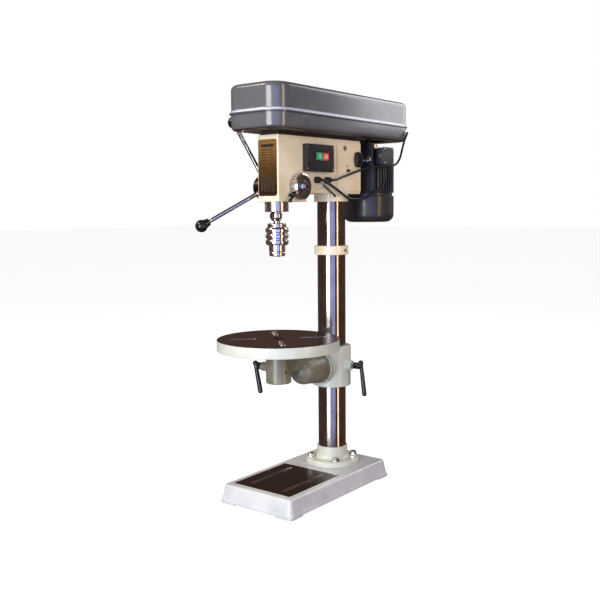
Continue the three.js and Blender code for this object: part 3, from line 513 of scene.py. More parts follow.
leads = {
    "guard_switch_lead": {"radius": 2.9, "length": 0.38, "route": [
        leadEnd(-79, 778, 15.4), leadEnd(-79, 778, 19), (62, -66, 779), (58, -42, 784), (56, 4.7, 795),
        (60, 59, 809), (80, 100, 817), (93, 128, 818), (95, 160, 824), (93, 184, 841), (90, 200, 864),
        (88, 216, 890), (86, 230, 905), (84.6, 236, 910), (81.2, 239, 911)]},
    "motor_lead": {"radius": 3.2, "length": 0.325, "route": [
        leadEnd(-117, 778, 15.4), leadEnd(-117, 778, 19), (60, -101, 772), (54, -60, 760), (52.5, -30, 748),
        (52, -2, 736), (50, 22, 733), (50, 62, 734), (56, 92, 742), (70, 112, 757), (79, 125, 775),
        (81, 131, 795), (80, 134, 812), (80, 134, 821.6)]},
    "earth_lead": {"radius": 1.9, "length": 0.078, "route": [
        leadEnd(-97, 766, 0.6), leadEnd(-96, 766, 4), (47, -88, 761), (48, -74, 753), (48, -60, 746),
        (46, -48, 741.5), (41, -41, 739), (36, -37, 739.5), (34, -35.5, 743)]},
}


def tubeAlong(line, radius):  # a round sheath along a line of points, with closed ends
    curve = bpy.data.curves.new("sheath", "CURVE")
    curve.dimensions = "3D"
    curve.bevel_depth = radius * mm
    curve.bevel_resolution = 6
    curve.use_fill_caps = True
    spline = curve.splines.new("POLY")
    spline.points.add(len(line) - 1)
    for point, place in zip(spline.points, line):
        point.co = (*(place * mm), 1)
    obj = bpy.data.objects.new("sheath", curve)
    bpy.context.scene.collection.objects.link(obj)
    take(obj)
    bpy.ops.object.convert(target="MESH")
    editAll(obj)
    return settle(obj, None)


def makeLeads():
    for name, lead in leads.items():
        line = smoothRoute(lead["route"], 8)
        crosses = name == "motor_lead"
        obj = done(tubeAlong(line, lead["radius"]), name + "_sheath", blackRubber,
                   None if crosses else "head", [name])
        if crosses:
            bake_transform(obj)


makeLeads()
print("leads laid")

base = {"front": -309, "rear": 94, "half": 103, "top": 46, "corner": 9, "flare": 8, "wall": 8, "plate": 11}
pad = {"front": -291, "rear": -94, "half": 86, "lift": 0.8,
       "slotX": 50, "slotFrom": -270, "slotTo": -112, "slotWidth": 12}
boltCircle = 56


def flangePlaces():
    return [polar(boltCircle, angle) for angle in (45, 135, 225, 315)]


def baseOutline(grow):
    return oblong(-base["half"] - grow, base["half"] + grow, base["front"] - grow, base["rear"] + grow,
                  base["corner"] + grow * 0.4, 6)


def makeBase():
    top, flare, inside = base["top"], base["flare"], -base["wall"]
    stations = [
        (inside, top - base["plate"]), (inside + flare - 1, 6), (flare - 4, 4), (flare - 0.6, 4), (flare, 4.8),
        (flare, 8.6), (flare - 0.5, 9.8), (flare - 1.6, 11), (flare - 2.2, 13), (flare - 3, 17),
        (1.2, 38), (0.4, 41.5), (-0.6, 43.8), (-2.4, 45.4), (-4.8, top),
    ]
    shell = lofted(raisedLoops(baseOutline, stations))
    footLength = 50
    for sx in (-1, 1):
        for edge, sy in ((base["front"] - flare, 1), (base["rear"] + flare, -1)):
            x = sx * (base["half"] + flare)
            xs, ys = sorted((x, x - sx * footLength)), sorted((edge, edge + sy * footLength))
            shell = weld(shell, soften(slab(oblong(xs[0] + 0.4, xs[1] - 0.4, ys[0] + 0.4, ys[1] - 0.4, 8), 0, 5.5), 1))
    face = slab(oblong(-pad["half"], pad["half"], pad["front"], pad["rear"], 4), top - 2, top + pad["lift"])
    reach = boltCircle * 0.7071  # the bolt circle's corners lie at 45 degrees
    bosses = [bar((sx * reach, sy * reach, 12), (sx * reach, sy * reach, 37), 11)
              for sx in (-1, 1) for sy in (-1, 1)]
    shell = weld(shell, soften(face, 0.5, 2), *bosses)
    half = pad["slotWidth"] / 2
    for sx in (-1, 1):
        x = sx * pad["slotX"]
        shell = carve(shell, slab(oblong(x - half, x + half, pad["slotFrom"], pad["slotTo"], half - 0.01), 20, 60))
    onPad = lambda c, n: c.z > top + 0.1 and n.z > 0.2
    # slot walls get the pale milled iron, a painted highlight along the slot edges
    inSlot = lambda c, n: (abs(n.z) < 0.4 and abs(abs(c.x) - pad["slotX"]) < half + 0.5 and c.z > 34.5
                           and pad["slotFrom"] - 1 < c.y < pad["slotTo"] + 1)
    done(shell, "base", baseEnamel, "stand", ["base_casting"], 35,
         [(padFace, onPad), (slotHighlightSteel, inSlot)])


def makeFlange():
    bore, low = 36.3, 46.3
    outline = rounded([(bore, low), (68.4, low, 0.8), (68.4, low + 9.5, 2.5), (64.5, low + 14, 2.5), (45, low + 14, 6),
                       (39.8, low + 22, 3), (39.6, 92, 1.6), (bore, 92)], 6)
    flange = turned(outline, at(), 128)
    for x, y in flangePlaces():
        flange = carve(flange, bar((x, y, low - 2), (x, y, low + 20), 5.3, sides=24))
    done(flange, "flange", paleEnamel, "stand", ["column_flange"])
    for i, (x, y) in enumerate(flangePlaces()):
        seat = low + 14.3
        washer = lathe([(5.2, 0), (10, 0, 0.4), (10, 1.8, 0.4), (5.2, 1.8)], at(x, y, seat), 48)
        head = hexHead(16, 8.4, at(x, y, seat + 1.8, 0.4 + i))
        shank = bar((x, y, 20), (x, y, seat + 3), 5, sides=32)
        done(gather(weld(head, shank), washer), f"flange_bolt_{i + 1}_detail", chromePlate, "stand",
             [f"flange_bolt_{i + 1}"])


def makeColumn():
    outline = rounded([(32, 48), (36, 48, 1), (36, 872, 1.2), (32, 872)], 4)
    done(turned(outline, at(), 160), "column", columnSteel, "stand", ["column_tube"])


def makeStopRing():
    outline = rounded([(36.3, 592, 0.4), (43.5, 592, 1.6), (43.5, 615, 1.6), (36.3, 615, 0.4)], 5)
    ring = carve(turned(outline, at(), 128), bar((36, 0, 603.5), (48, 0, 603.5), 4.4))
    done(ring, "stop_ring", creamEnamel, "stop_ring", ["stop_collar"])
    screw = lathe([(0, 0), (3.9, 0), (3.9, 7.2, 0.5), (2.2, 7.2), (2.0, 5), (0, 5)],
                  along((36.6, 0, 603.5), (1, 0, 0)), 32)
    done(screw, "stop_ring_screw", chromePlate, "stop_ring")


makeBase()
makeFlange()
makeColumn()
makeStopRing()
print("stand made")

sleeve = {"bottom": 252, "top": 357, "radius": 49.5, "bore": 36.3}
tilt = {"z": 305, "face": -60, "radius": 42}
spindleY = -220
tableSize = {"radius": 147, "top": 401, "rim": 26, "plate": 12, "slotFrom": 50, "slotTo": 118, "slotWidth": 13}
boss = {"radius": 30.5, "bottom": 293, "top": 374.4}


def makeBracket():
    z, face = tilt["z"], tilt["face"]
    tube = soften(bar((0, 0, sleeve["bottom"]), (0, 0, sleeve["top"]), sleeve["radius"], sides=128), 2.4)
    lug = soften(bar((40, 0, 309), (64, 0, 309), 13), 2)
    neck = bar((0, -18, z), (0, face + 11, z), 36, 39, 96)
    disc = soften(bar((0, face + 12, z), (0, face + 0.3, z), tilt["radius"], sides=128), 1.2)
    body = cast(gather(tube, lug, neck, disc), 1.3, 5)
    body = carve(body, bar((0, 0, 240), (0, 0, 370), sleeve["bore"], sides=128), bar((30, 0, 309), (70, 0, 309), 6.3),
                 bar((0, -36, z), (0, -80, z), 7.3))
    done(body, "bracket", paleEnamel, "bracket", ["table_bracket"], 40)
    marks = []
    for step in range(-9, 10):
        angle = math.radians(step * 5)
        tall = 7 if step % 3 == 0 else 4.5
        outward = Vector((math.cos(angle), 0, math.sin(angle)))
        spot = Vector((0, face + 0.9, z)) + outward * (tilt["radius"] - 0.35)
        marks.append(block((-0.8, 0, 0), (0.8, tall, 0.7), Matrix.Translation(spot * mm)
                           @ Matrix(((-outward.z, 0, outward.x, 0), (0, 1, 0, 0), (outward.x, 0, outward.z, 0),
                                     (0, 0, 0, 1)))))
    scale = gather(*marks)
    editAll(scale)
    done(settle(scale, None), "tilt_scale", brownInk, "bracket")


def makeArm():
    z, face, y = tilt["z"], tilt["face"] - 0.3, spindleY
    parts = [
        soften(bar((0, y, boss["bottom"]), (0, y, boss["top"]), boss["radius"], sides=96), 1.8),
        soften(bar((0, face, z), (0, face - 6, z), 40, 39, 96), 1),
        bar((0, face - 5, z), (0, -120, z), 38, 33, 96),
        ball((0, -120, z), 1, (33, 36, 33)),
        ball((0, -165, 337), 1, (19, 70, 25)),
        block((-19, y + 12, 316), (19, -105, 352)),
        soften(bar((-22, y, 328), (-52, y, 328), 11), 1.5),
    ]
    body = cast(gather(*parts), 1.3, 7)
    body = carve(
        body, bar((0, y, 280), (0, y, 400), 15.3, sides=64), bar((-5, y, 328), (-60, y, 328), 5.3),
        bar((0, face + 5, z), (0, -100, z), 7.3), block((-13, -115, z - 60), (13, -95.6, z + 13)),
        bar((20, y - 6, 322), (34, y - 9, 322), 3.4, sides=32))
    # the arm carries the darkened enamel as painted shade
    done(body, "arm", armShadeEnamel, "arm", ["table_arm"], 40)
    pin = lathe([(0, 0), (3.1, 0), (3.1, 3, 0.6), (0, 3)], along((25, y - 7, 322), (1, -0.22, 0)), 32)
    done(pin, "arm_grub_screw", darkTurnedSteel, "arm")


def makeTable():
    size, y = tableSize, spindleY
    top, under = size["top"], size["top"] - size["rim"]
    outline = rounded([(13, top, 0.8), (size["radius"], top, 1.2), (size["radius"], under, 1.6), (138, under, 1),
                       (137, top - size["plate"], 3), (40, top - size["plate"], 3), (38, under, 1), (15, under),
                       (15, 300, 0.8), (13, 300)], 5)
    table = turned(outline, at(0, y), 192)
    half = size["slotWidth"] / 2
    for turn in (45, 135, 225, 315):
        slot = slab(oblong(size["slotFrom"], size["slotTo"], -half, half, half - 0.01), top - 20, top + 6,
                    at(0, y, 0, math.radians(turn)))
        table = carve(table, slot)
    onFace = lambda c, n: c.z > top - 1 and n.z > 0.35 or math.hypot(c.x, c.y - y) < 14.5
    # slot walls get the pale milled iron, a painted highlight along the slot edges
    inSlot = lambda c, n: (30 < math.hypot(c.x, c.y - y) < 130 and abs(n.z) < 0.5 and c.z > top - size["plate"] - 0.1)
    done(table, "table", paleEnamel, "table", ["work_table"], 32,
         [(tableFace, onFace), (slotHighlightSteel, inSlot)])


def clampHandle(name, body, stud, hub, top, end, studRadius):
    # a cranked clamping handle: steel stud, moulded hub and a grip hanging from it
    inward = (Vector(stud) - Vector(hub)).normalized()
    grip = [bar(Vector(hub) + inward * 12, hub, 8.5, 8.5), ball(hub, 8.4), bar(hub, top, 7, 6), ball(top, 6.6),
            bar(top, end, 5, 6), ball(end, 6)]
    grip = cast(gather(*grip), 0.8, 5)
    done(grip, name + "_grip", blackPhenolic, body, [name], 50)
    done(soften(bar(stud, Vector(hub) + inward * 11, studRadius), 0.6), name + "_stud", chromePlate, body)


makeBracket()
makeArm()
makeTable()
clampHandle("column_clamp_lever", "column_clamp", (37, 0, 309), (82, 0, 309), (88, 4, 317), (96, 8, 236), 5.8)
clampHandle("table_clamp_lever", "table_clamp", (-16, -220, 328), (-66, -220, 328), (-70, -224, 334),
            (-50, -230, 268), 4.8)
print("bracket, arm and table made")

head = {"front": -251, "rear": 60, "nose": 725.4, "bottom": 745.6, "top": 880, "noseRear": -150, "boss": 43.7,
        "bossBottom": 726.5}
feed = {"y": -182, "z": 761}


def headOutline(grow, rear):
    half, front, frontHalf = sideX(rear) + grow, head["front"] - grow, headSide["frontHalf"] + grow
    return rounded([(-frontHalf, front, 3.4 + grow * 0.5), (frontHalf, front, 3.4 + grow * 0.5),
                    (half, rear + grow, 3 + grow * 0.5), (-half, rear + grow, 3 + grow * 0.5)], 5)


def roundedEnds(low, high, radius, steps=4):  # grow, height stations of a block with rounded rims
    arc = [radius * (1 - math.cos(i * math.pi / 2 / steps)) for i in range(steps + 1)]
    rise = [radius * (1 - math.sin(i * math.pi / 2 / steps)) for i in range(steps + 1)]
    lower = [(-a, low + r) for a, r in zip(arc, rise)][::-1]
    upper = [(-a, high - r) for a, r in zip(arc, rise)]
    return lower + upper


def feedBar(x0, x1, radius, sides=96):
    return bar((x0, feed["y"], feed["z"]), (x1, feed["y"], feed["z"]), radius, sides=sides)


def onFeed(x, way=1):  # a place on the feed's axis whose own Z points to the right, or to the left
    return along((x, feed["y"], feed["z"]), (way, 0, 0))


def makeHead():
    body = lofted(raisedLoops(lambda g: headOutline(g, head["rear"]), roundedEnds(head["bottom"], head["top"], 2.2)))
    nose = lofted(raisedLoops(lambda g: headOutline(g, head["noseRear"]),
                              roundedEnds(head["nose"], head["bottom"] + 9, 2.6)))
    collar = soften(bar((0, 0, head["bossBottom"]), (0, 0, head["bottom"] + 5), head["boss"], sides=128), 1.6)
    body = weld(body, nose, collar, soften(feedBar(-20, -44, 25), 1.4))
    y = spindleY
    body = carve(
        body, bar((0, 0, 720), (0, 0, 872.3), 36.3, sides=128), bar((0, y, 715), (0, y, 865), 28.3, sides=96),
        bar((0, y, 860), (0, y, 890), 22.3, sides=64), feedBar(-60, 11, 15.6), feedBar(0, 60, 8.3),
        bar((34, 65, 832), (34, 25.6, 832), 7.3), bar((-34, 65, 832), (-34, 25.6, 832), 7.3),
        bar((34, 43, 832), (60, 43, 832), 5), bar((0, -213, 741), (50, -213, 741), 4.3))
    done(body, "head", creamEnamel, "head", ["head_casting"], 35)


def frontPlate(x, z):  # own X to the right, own Y up, own Z out of the head's front
    return at(x, head["front"], z) @ standing


def makeNameplate():
    low, high = -65, 65  # half heights about z 804
    plate = soften(slab(oblong(-27.5, 27.5, low, high, 2), 0.3, 1.2, frontPlate(0, 804)), 0.25, 2)
    # the plate carries painted light, dark at the bottom and bright gold at the top
    done(plate, "name_plate", paintedLightGoldPlate, "head", ["nameplate"])
    marks = []

    def mark(x0, x1, y0, y1):
        marks.append(block((x0, y0, 1.1), (x1, y1, 1.34), frontPlate(0, 804)))

    for y in (low + 3.4, high - 4.2):  # etched border
        mark(-24.5, 24.5, y, y + 0.8)
    for x in (-24.5, 23.7):
        mark(x, x + 0.8, low + 3.4, high - 3.4)
    mark(-19, 19, 47, 54)  # blank title bar
    for row in range(6):  # ruled blank rows for a maker's data
        mark(-19, -3 if row % 2 else 2, 40 - row * 6, 42.2 - row * 6)
        mark(5, 19 if row % 2 else 15, 40 - row * 6, 42.2 - row * 6)
    for column in range(5):  # blank speed chart: steps of a pulley and its columns
        x = -19 + column * 8.2
        mark(x, x + 5.2, -2, 1)
        mark(x, x + 5.2, -55, -8 - column * 4)
    etching = gather(*marks)
    done(etching, "name_plate_etching", brownInk, "head")
    rivets = [lathe([(0, 0.9), (1.9, 0.9), (1.6, 2.1, 0.7), (0, 2.3)], frontPlate(x, 804 + y), 20)
              for x in (-25.6, 25.6) for y in (low + 1.9, high - 1.9)]
    done(gather(*rivets), "name_plate_rivets", chromePlate, "head")


switch = {"y": -115, "z": 829.5, "width": 102, "height": 65, "depth": 14,
          "buttonMiddle": 7, "apart": 23.4, "buttonWidth": 21.2, "buttonLow": -5.1, "buttonHigh": 13.1}


def makeSwitch():
    s = switch
    place, depth, face = sidePlate(s["y"], s["z"]), s["depth"], s["depth"] + 1.5
    middles = [s["buttonMiddle"] + side * s["apart"] / 2 for side in (-1, 1)]
    halfWidth, halfHeight, half = s["width"] / 2, s["height"] / 2, s["buttonWidth"] / 2
    body = soften(slab(oblong(-halfWidth, halfWidth, -halfHeight, halfHeight, 3), 0.3, depth, place), 1.4)
    for x in middles:
        well = oblong(x - half - 0.3, x + half + 0.3, s["buttonLow"] - 0.3, s["buttonHigh"] + 0.3, 1.2)
        body = carve(body, slab(well, -2, depth + 2, place))
    panel = oblong(middles[0] - half - 2.5, middles[1] + half + 2.5, s["buttonLow"] - 3, s["buttonHigh"] + 3, 1.5)
    body = carve(body, slab(panel, depth - 0.8, depth + 2, place))
    done(body, "switch_bezel", blackAbs, "head", ["switch_housing"])
    head = rounded([(0, depth - 0.2), (2.6, depth - 0.2), (2.6, depth + 0.5, 0.4), (1.1, depth + 0.5), (0.9, depth),
                    (0, depth)], 3)
    screws = [turned(head, place @ at(x, z), 24) for x in (4 - halfWidth, halfWidth - 4) for z in (-26, 26)]
    done(gather(*screws), "switch_screws", zincPlate, "head")
    buttons = (("start", greenAbs, "green_plastic"), ("stop", redAbs, "red_plastic"))
    for x, (name, finish, paint) in zip(middles, buttons):
        cap = soften(slab(oblong(x - half, x + half, s["buttonLow"], s["buttonHigh"], 1.4), 5, face, place), 0.9)
        stem = lathe([(0, -9), (4, -9, 0.6), (4, 6), (0, 6)], place @ at(x, 4), 32)
        if name == "start":
            sign = slab(oblong(x - 1.1, x + 1.1, -1.8, 9.8, 0.5), face - 0.2, face + 0.25, place)
        else:
            ring = rounded([(3.4, face - 0.2), (5.3, face - 0.2), (5.3, face + 0.25), (3.4, face + 0.25)])
            sign = turned(ring, place @ at(x, 4), 48)
        done(weld(cap, stem), name + "_cap", finish, name + "_button", [name + "_button"])
        done(sign, name + "_sign", whiteInk, name + "_button")


def makeCover():
    place = sidePlate(10, 832)
    plate = slab(oblong(-47, 48, -80, 42, 3), 0.3, 2.3, place)
    hole = turned([(0, -2), (6, -2), (6, 5), (0, 5)], place @ at(33, 0), 40)
    done(carve(soften(plate, 0.7), hole), "cover", coverEnamel, "head", ["electrical_cover"])
    screw = lathe([(0, 2.2), (6.4, 2.2), (6.4, 3.6, 0.8), (3, 4.8), (0, 4.8)], place @ at(-17, 27), 40, 4)
    screw = carve(screw, slab(oblong(-7, 7, -0.7, 0.7, 0.2), 3.4, 6, place @ at(-17, 27, 0, 0.6)))
    done(screw, "cover_screw", zincPlate, "head")
    plug = lathe([(0, 2.2), (2.2, 2.2), (2.2, 3, 0.4), (0, 3)], place @ at(-9, -17), 32)
    done(plug, "cover_plug", blackEnamel, "head")
    clip = slab(oblong(-5, 5, -2.6, 4.2, 2), 2.3, 6.4, place @ at(-6, -29))
    done(soften(clip, 0.8), "lead_clip", blackAbs, "head")
    cap = lathe([(0, 0.2), (9, 0.2), (9, 2.4, 1), (5, 4.6, 2), (0, 4.8)],
                sidePlate(-97, 765) @ Matrix.Diagonal((1.3, 0.7, 1, 1)), 64, 4)
    done(cap, "access_cap", paleEnamel, "head")


def makeGland(name, y, z):
    place = sidePlate(y, z)
    nut = hexHead(15.4, 6.2, place @ at(0, 0, 0.4))
    grip = lathe([(0, 6), (7, 6), (7, 8.5, 0.6), (6.4, 9, 0.3), (6.4, 12.2, 0.5), (5.4, 15, 1), (0, 15)], place, 48)
    ribs = [block((6.2, -0.5, 6.6), (7.3, 0.5, 11.6), place @ at(turn=i * math.pi / 8)) for i in range(16)]
    done(gather(weld(nut, grip), *ribs), name + "_detail", blackAbs, "head", [name])


def makeFeed():
    outer = 54
    inner = sideX(feed["y"] + 31) + 0.3
    place = onFeed(inner)
    deep = 52 - inner
    shell = rounded([(28, 0), (31, 0, 0.8), (31, deep - 1, 2.4), (27.6, deep, 0.6), (27, outer - inner, 1.4),
                     (13.5, outer - inner - 0.4, 0.6), (13, outer - inner - 1.4), (9, outer - inner - 1.4),
                     (9, deep - 3), (28, deep - 3)], 5)
    onCap = lambda c, n: n.x > 0.6 and 13.6 < math.hypot(c.y - feed["y"], c.z - feed["z"]) < 27.4
    done(turned(shell, place, 128), "spring_cap", chromePlate, "head", ["spring_housing"], 32,
         [(greyTurnedSteel, onCap)])
    notches = [block((29.4, -1.1, 2), (31.25, 1.1, 7.5), place @ at(turn=i * math.pi / 9)) for i in range(18)]
    done(gather(*notches), "spring_cap_notches", darkTurnedSteel, "head")
    nutPlace = onFeed(outer + 0.3)
    washer = lathe([(8.4, -1.2), (12.6, -1.2, 0.3), (12.6, 0.3, 0.3), (8.4, 0.3)], nutPlace, 64)
    nut = carve(hexHead(17.6, 8.4, nutPlace), feedBar(50, 66, 5.2, 48))
    tip = lathe([(0, -2), (5, -2), (5, 8, 1.2), (0, 8.4)], nutPlace, 40, 4)
    done(gather(nut, washer), "spring_cap_nut", chromePlate, "head", ["spring_nut"])
    done(tip, "feed_shaft_end", darkTurnedSteel, "feed")
    hub = lathe([(8.3, -0.2), (27, 0, 1), (27, 6, 0.8), (25.4, 7.4, 0.6), (25.4, 9, 0.6), (27, 10.4, 0.8),
                 (27, 35, 3), (15.5, 35.6, 0.6), (15, 40, 1.6), (0, 40), (0, 12), (8.3, 12)], onFeed(-49, -1), 128,
                5)
    for i in range(3):
        hub = carve(hub, bar(leverPoint(i, -0.02), leverPoint(i, 0.4), 5.3))
    done(hub, "hub", darkTurnedSteel, "feed", ["feed_hub"])
    ring = lathe([(10.6, 0), (28.9, 0, 0.5), (28.9, 4.2, 0.8), (23, 4.4), (22.4, 4.2), (10.6, 4.2)],
                 onFeed(-44.6, -1), 128, 4)
    done(ring, "depth_dial", turnedSteel, "feed", ["depth_ring"])
    marks = [block((28.7, -0.22, 0.5), (29.0, 0.22, 3.6 if i % 5 == 0 else 2.2),
                   onFeed(-44.6, -1) @ at(turn=i * math.pi / 30)) for i in range(60)]
    done(gather(*marks), "depth_dial_marks", blackEnamel, "feed")
    for i in range(3):
        start, end = Vector(leverPoint(i, 0.02)), Vector(leverPoint(i, 0.91))
        reach = (end - start).length
        rod = rounded([(0, 0), (5, 0), (5, 14, 0.2), (4.4, 15, 0.2), (4.4, 17, 0.2), (5, 18, 0.2), (5, reach - 12, 0.4),
                       (4.6, reach - 11), (4.6, reach), (0, reach)], 3)
        done(turned(rod, along(start, end - start), 48), f"lever_{i + 1}", chromePlate, "feed",
             [f"feed_lever_{i + 1}"])
        middle = Vector(leverPoint(i, 1))
        out = (middle - start).normalized()
        radius, collar = 15, 10.6
        sphere = [polar(radius, a - 90) for a in range(48, 171, 6)]
        knob = [(5.1, -20), (6.4, -21.5), (8, -21.5), (8.8, -20), (9.6, -16), (collar, -11.6)] + sphere
        knob += [(2, radius - 0.1), (0, radius - 0.15), (0, -12.8), (5.1, -12.8)]
        done(turned(knob, along(middle, out), 64), f"knob_{i + 1}", blackPhenolic, "feed",
             [f"feed_knob_{i + 1}"], 40)
    lock = [bar((28, -213, 741), (46, -213, 741), 4), bar((44, -213, 741), (46, -225, 729), 3.6, 3.4),
            ball((46, -226, 728), 4.8), ball((45.6, -213, 741), 4.4)]
    done(cast(gather(*lock), 0.5, 4), "quill_lock", blackPhenolic, "quill_lock",
         ["quill_lock_lever"], 50)


lever = {"reach": 161, "outward": 90, "angle": 0.6, "root": 12, "x": -65}


def leverPoint(index, part):  # a point along a feed lever, 0 at the hub's axis and 1 at the knob's middle
    angle = lever["angle"] - index * 2 * math.pi / 3
    reach = lever["root"] + (lever["reach"] - lever["root"]) * part
    return (lever["x"] - lever["outward"] * part, feed["y"] - reach * math.cos(angle),
            feed["z"] - reach * math.sin(angle))


makeHead()
makeNameplate()
makeSwitch()
makeCover()
makeGland("front_gland", -117, 778)
makeGland("rear_gland", -79, 778)
makeFeed()
print("head made")

rack = {"pitchLine": -195, "from": 748, "to": 852, "pitch": 2 * math.pi}


def makeQuill():
    y = spindleY
    tube = lathe([(17.3, 702), (28, 702, 2), (28, 862, 0.8), (11.3, 862), (11.3, 720), (17.3, 720)], at(0, y), 128,
                 5)
    face = rack["pitchLine"] + 2
    saw = [(face, rack["from"])]
    z = rack["from"] + 1.5
    while z <= rack["to"] - 2:
        saw += [(face, z - 2.6), (face - 4.2, z - 1.0), (face - 4.2, z + 1.0), (face, z + 2.6)]
        z += rack["pitch"]
    saw += [(face, rack["to"]), (face + 40, rack["to"]), (face + 40, rack["from"])]
    done(carve(tube, slab(saw, -40, 40, sideways)), "quill_tube", turnedSteel, "quill", ["quill"])
    bearing = rounded([(10.3, 704), (12, 704, 0.4), (12.4, 704.6), (15, 704.6), (15.4, 704), (17, 704, 0.5),
                       (17, 719.7, 0.5), (10.3, 719.7, 0.4)], 3)
    done(turned(bearing, at(0, y), 64), "quill_bearing", chromePlate, "quill", ["lower_bearing"])
    shaft = rounded([(0, 666.4), (7.3, 666.4), (7.3, 676.5, 3), (8.2, 681, 3), (11, 685, 2), (12.6, 689, 1.2),
                     (12.6, 698, 0.8), (10, 700), (10, 868, 0.6), (8.3, 868.4), (8.3, 984, 1), (0, 984)], 5)
    done(turned(shaft, at(0, y), 96), "spindle_shaft", turnedSteel, "spindle", ["spindle"])


chuck = {"ringTop": 676, "sleeveTop": 666, "sleeveBottom": 624, "nose": 598, "ring": 22.2, "sleeve": 27.4,
         "noseR": 19.4, "jawMouth": 7.4, "jawSlope": 12, "keyZ": 615.5}


def makeChuck():
    y, c = spindleY, chuck
    body = rounded([(7.6, 666), (0, 666), (0, 632), (9, 630), (9, 600), (11.4, c["nose"], 0.6),
                    (c["noseR"] - 1, c["nose"], 2.2), (c["noseR"], 606, 0.5), (c["noseR"] - 0.7, 607.2, 0.4),
                    (c["noseR"] - 0.7, 609, 0.4), (c["noseR"], 610.2, 0.5), (c["noseR"], 666.3),
                    (c["ring"], 666.3, 0.6), (c["ring"], c["ringTop"] - 1, 2.4), (7.6, c["ringTop"], 0.4)], 5)
    body = turned(body, at(0, y), 128)

    def hole(turn, *ends, radius):  # a bore between two points, each given by its distance out and its height
        spots = [(*polar(out, turn), z) for out, z in ends]
        return bar(*[(x, y + across, z) for x, across, z in spots], radius, sides=32)

    for turn in (90, 210, 330):
        rise, lean = polar(1, c["jawSlope"])
        bore = [(c["jawMouth"] + s * lean, c["nose"] + s * rise) for s in (-12, 56)]
        body = carve(body, hole(turn, *bore, radius=3.7),
                     hole(turn + 60, (9, c["keyZ"]), (24, c["keyZ"]), radius=3.6))
    done(body, "chuck_core", turnedSteel, "spindle", ["chuck_body"])
    r = c["sleeve"]
    low = c["sleeveBottom"]
    outline = [(c["noseR"] + 0.3, low, 0.4), (r - 3.4, low, 0.4), (r, low + 4.5, 1)]
    for z in (637, 650.5):  # two waists between three bright bands
        outline += [(r, z - 2.6, 1.6), (r - 3, z - 0.6, 1.2), (r - 3, z + 2.6, 1.2), (r, z + 4.6, 1.6)]
    outline += [(r, 661.5, 2.4), (r - 3, c["sleeveTop"], 1), (c["noseR"] + 0.3, c["sleeveTop"])]
    sleeveRing = lathe(outline, at(0, y), 128, 4)
    teeth = [block((r - 6.5, -0.95, 620), (r + 2, 0.95, 627.4), at(0, y, 0, i * math.pi / 16)) for i in range(32)]
    done(carve(sleeveRing, gather(*teeth)), "chuck_ring", chromePlate, "chuck_sleeve",
         ["chuck_sleeve"])
    for i in range(3):
        jaw = soften(copyNode(f"chuck_jaw_{i + 1}"), 0.25, 2, 40)
        done(jaw, f"jaw_{i + 1}_ground", chromePlate, f"jaw_{i + 1}", [f"chuck_jaw_{i + 1}"])


makeQuill()
makeChuck()
print("quill and chuck made")

guard = {"half": 80.5, "front": -312.5, "rear": 266, "corner": 45, "bottom": 888, "seam": 924, "top": 991, "lip": 4.5}
motorY = 175


def guardOutline(grow):
    return oblong(-guard["half"] - grow, guard["half"] + grow, guard["front"] - grow, guard["rear"] + grow,
                  guard["corner"] + grow, 14)


def makeTray():
    low, seam = guard["bottom"], guard["seam"]
    stations = [(-12, low + 2.6), (-7.5, low + 3.2), (-4.4, low + 5.4), (-3, low + 9), (-3, seam - 0.4), (-2.6, seam),
                (-0.4, seam), (0, seam - 0.4), (0, low + 9.5), (-0.7, low + 5.6), (-2.6, low + 2.6), (-5.6, low + 0.7),
                (-9.5, low)]
    tray = lofted(raisedLoops(guardOutline, stations))
    seat = slab(headOutline(-5, head["rear"] - 4), head["top"] + 0.3, low + 1.5)
    tray = weld(tray, seat)
    tray = carve(tray, bar((0, spindleY, 870), (0, spindleY, 900), 23, sides=64),
                 slab(oblong(-44, 44, motorY - 54, motorY + 44, 43.9, 16), 870, 900))
    # painted shade: the tray's underside and the seat below it are painted near-black
    below = lambda c, n: n.z < -0.75 or c.z < low + 0.4
    done(tray, "tray", greyEnamel, "head", ["guard_tray"], 40, [(trayShadeEnamel, below)])


def makeLid():
    seam, top, lip = guard["seam"] + 0.3, guard["top"], guard["lip"]
    stations = [(-14, top - 2.6), (-8, top - 3.4), (-4.6, top - 6.2), (-3.2, top - 11), (-2.6, seam + 4),
                (-2.6, seam + 0.4), (-2.2, seam), (lip - 0.8, seam), (lip - 0.1, seam + 0.7), (lip, seam + 3.4),
                (lip - 0.9, seam + 5.8), (lip - 2.4, seam + 6.8), (1.2, seam + 7.4), (0.35, seam + 8.4),
                (0, seam + 10), (0, top - 16)]
    for step in range(1, 9):  # the pressed edge rolls over into the flat top
        angle = step * math.pi / 16
        stations.append((-12 + 12 * math.cos(angle) - 0.3 * math.sin(angle), top - 12 + 12 * math.sin(angle)))
    lid = lofted(raisedLoops(guardOutline, stations))
    # the lip's upward-facing faces get the paler enamel as a painted highlight
    onRim = lambda c, n: seam + 2 < c.z < seam + 9 and n.z > 0.25
    done(lid, "lid", greyEnamel, "lid", ["guard_lid"], 40, [(rimHighlightEnamel, onRim)])
    y, z = guard["rear"] + 4.5, guard["seam"] - 4
    for name, body, middles, half, leaf, low, high in (("fixed", "head", (-36, 0, 36), 9.8, -4.6, -12, -1),
                                                       ("moving", "lid", (-18, 18), 7.8, 1.4, -1, 9)):
        knuckles = []
        for x in middles:
            pipe = bar((x - half, y, z), (x + half, y, z), 5, sides=40)
            knuckles.append(soften(carve(pipe, bar((x - half - 1, y, z), (x + half + 1, y, z), 3.6)), 0.4))
        leaves = [block((x - half + 0.3, y + leaf, z + low), (x + half - 0.3, y + leaf + 1.2, z + high))
                  for x in middles]
        done(gather(*knuckles, *leaves), "hinge_knuckles_" + name, greyEnamel, body)


pulley = {"bottom": 904, "step": 14, "groove": 6.5, "belt": 9, "spindle": (52, 44, 36, 28), "motor": (24, 32, 40, 48)}


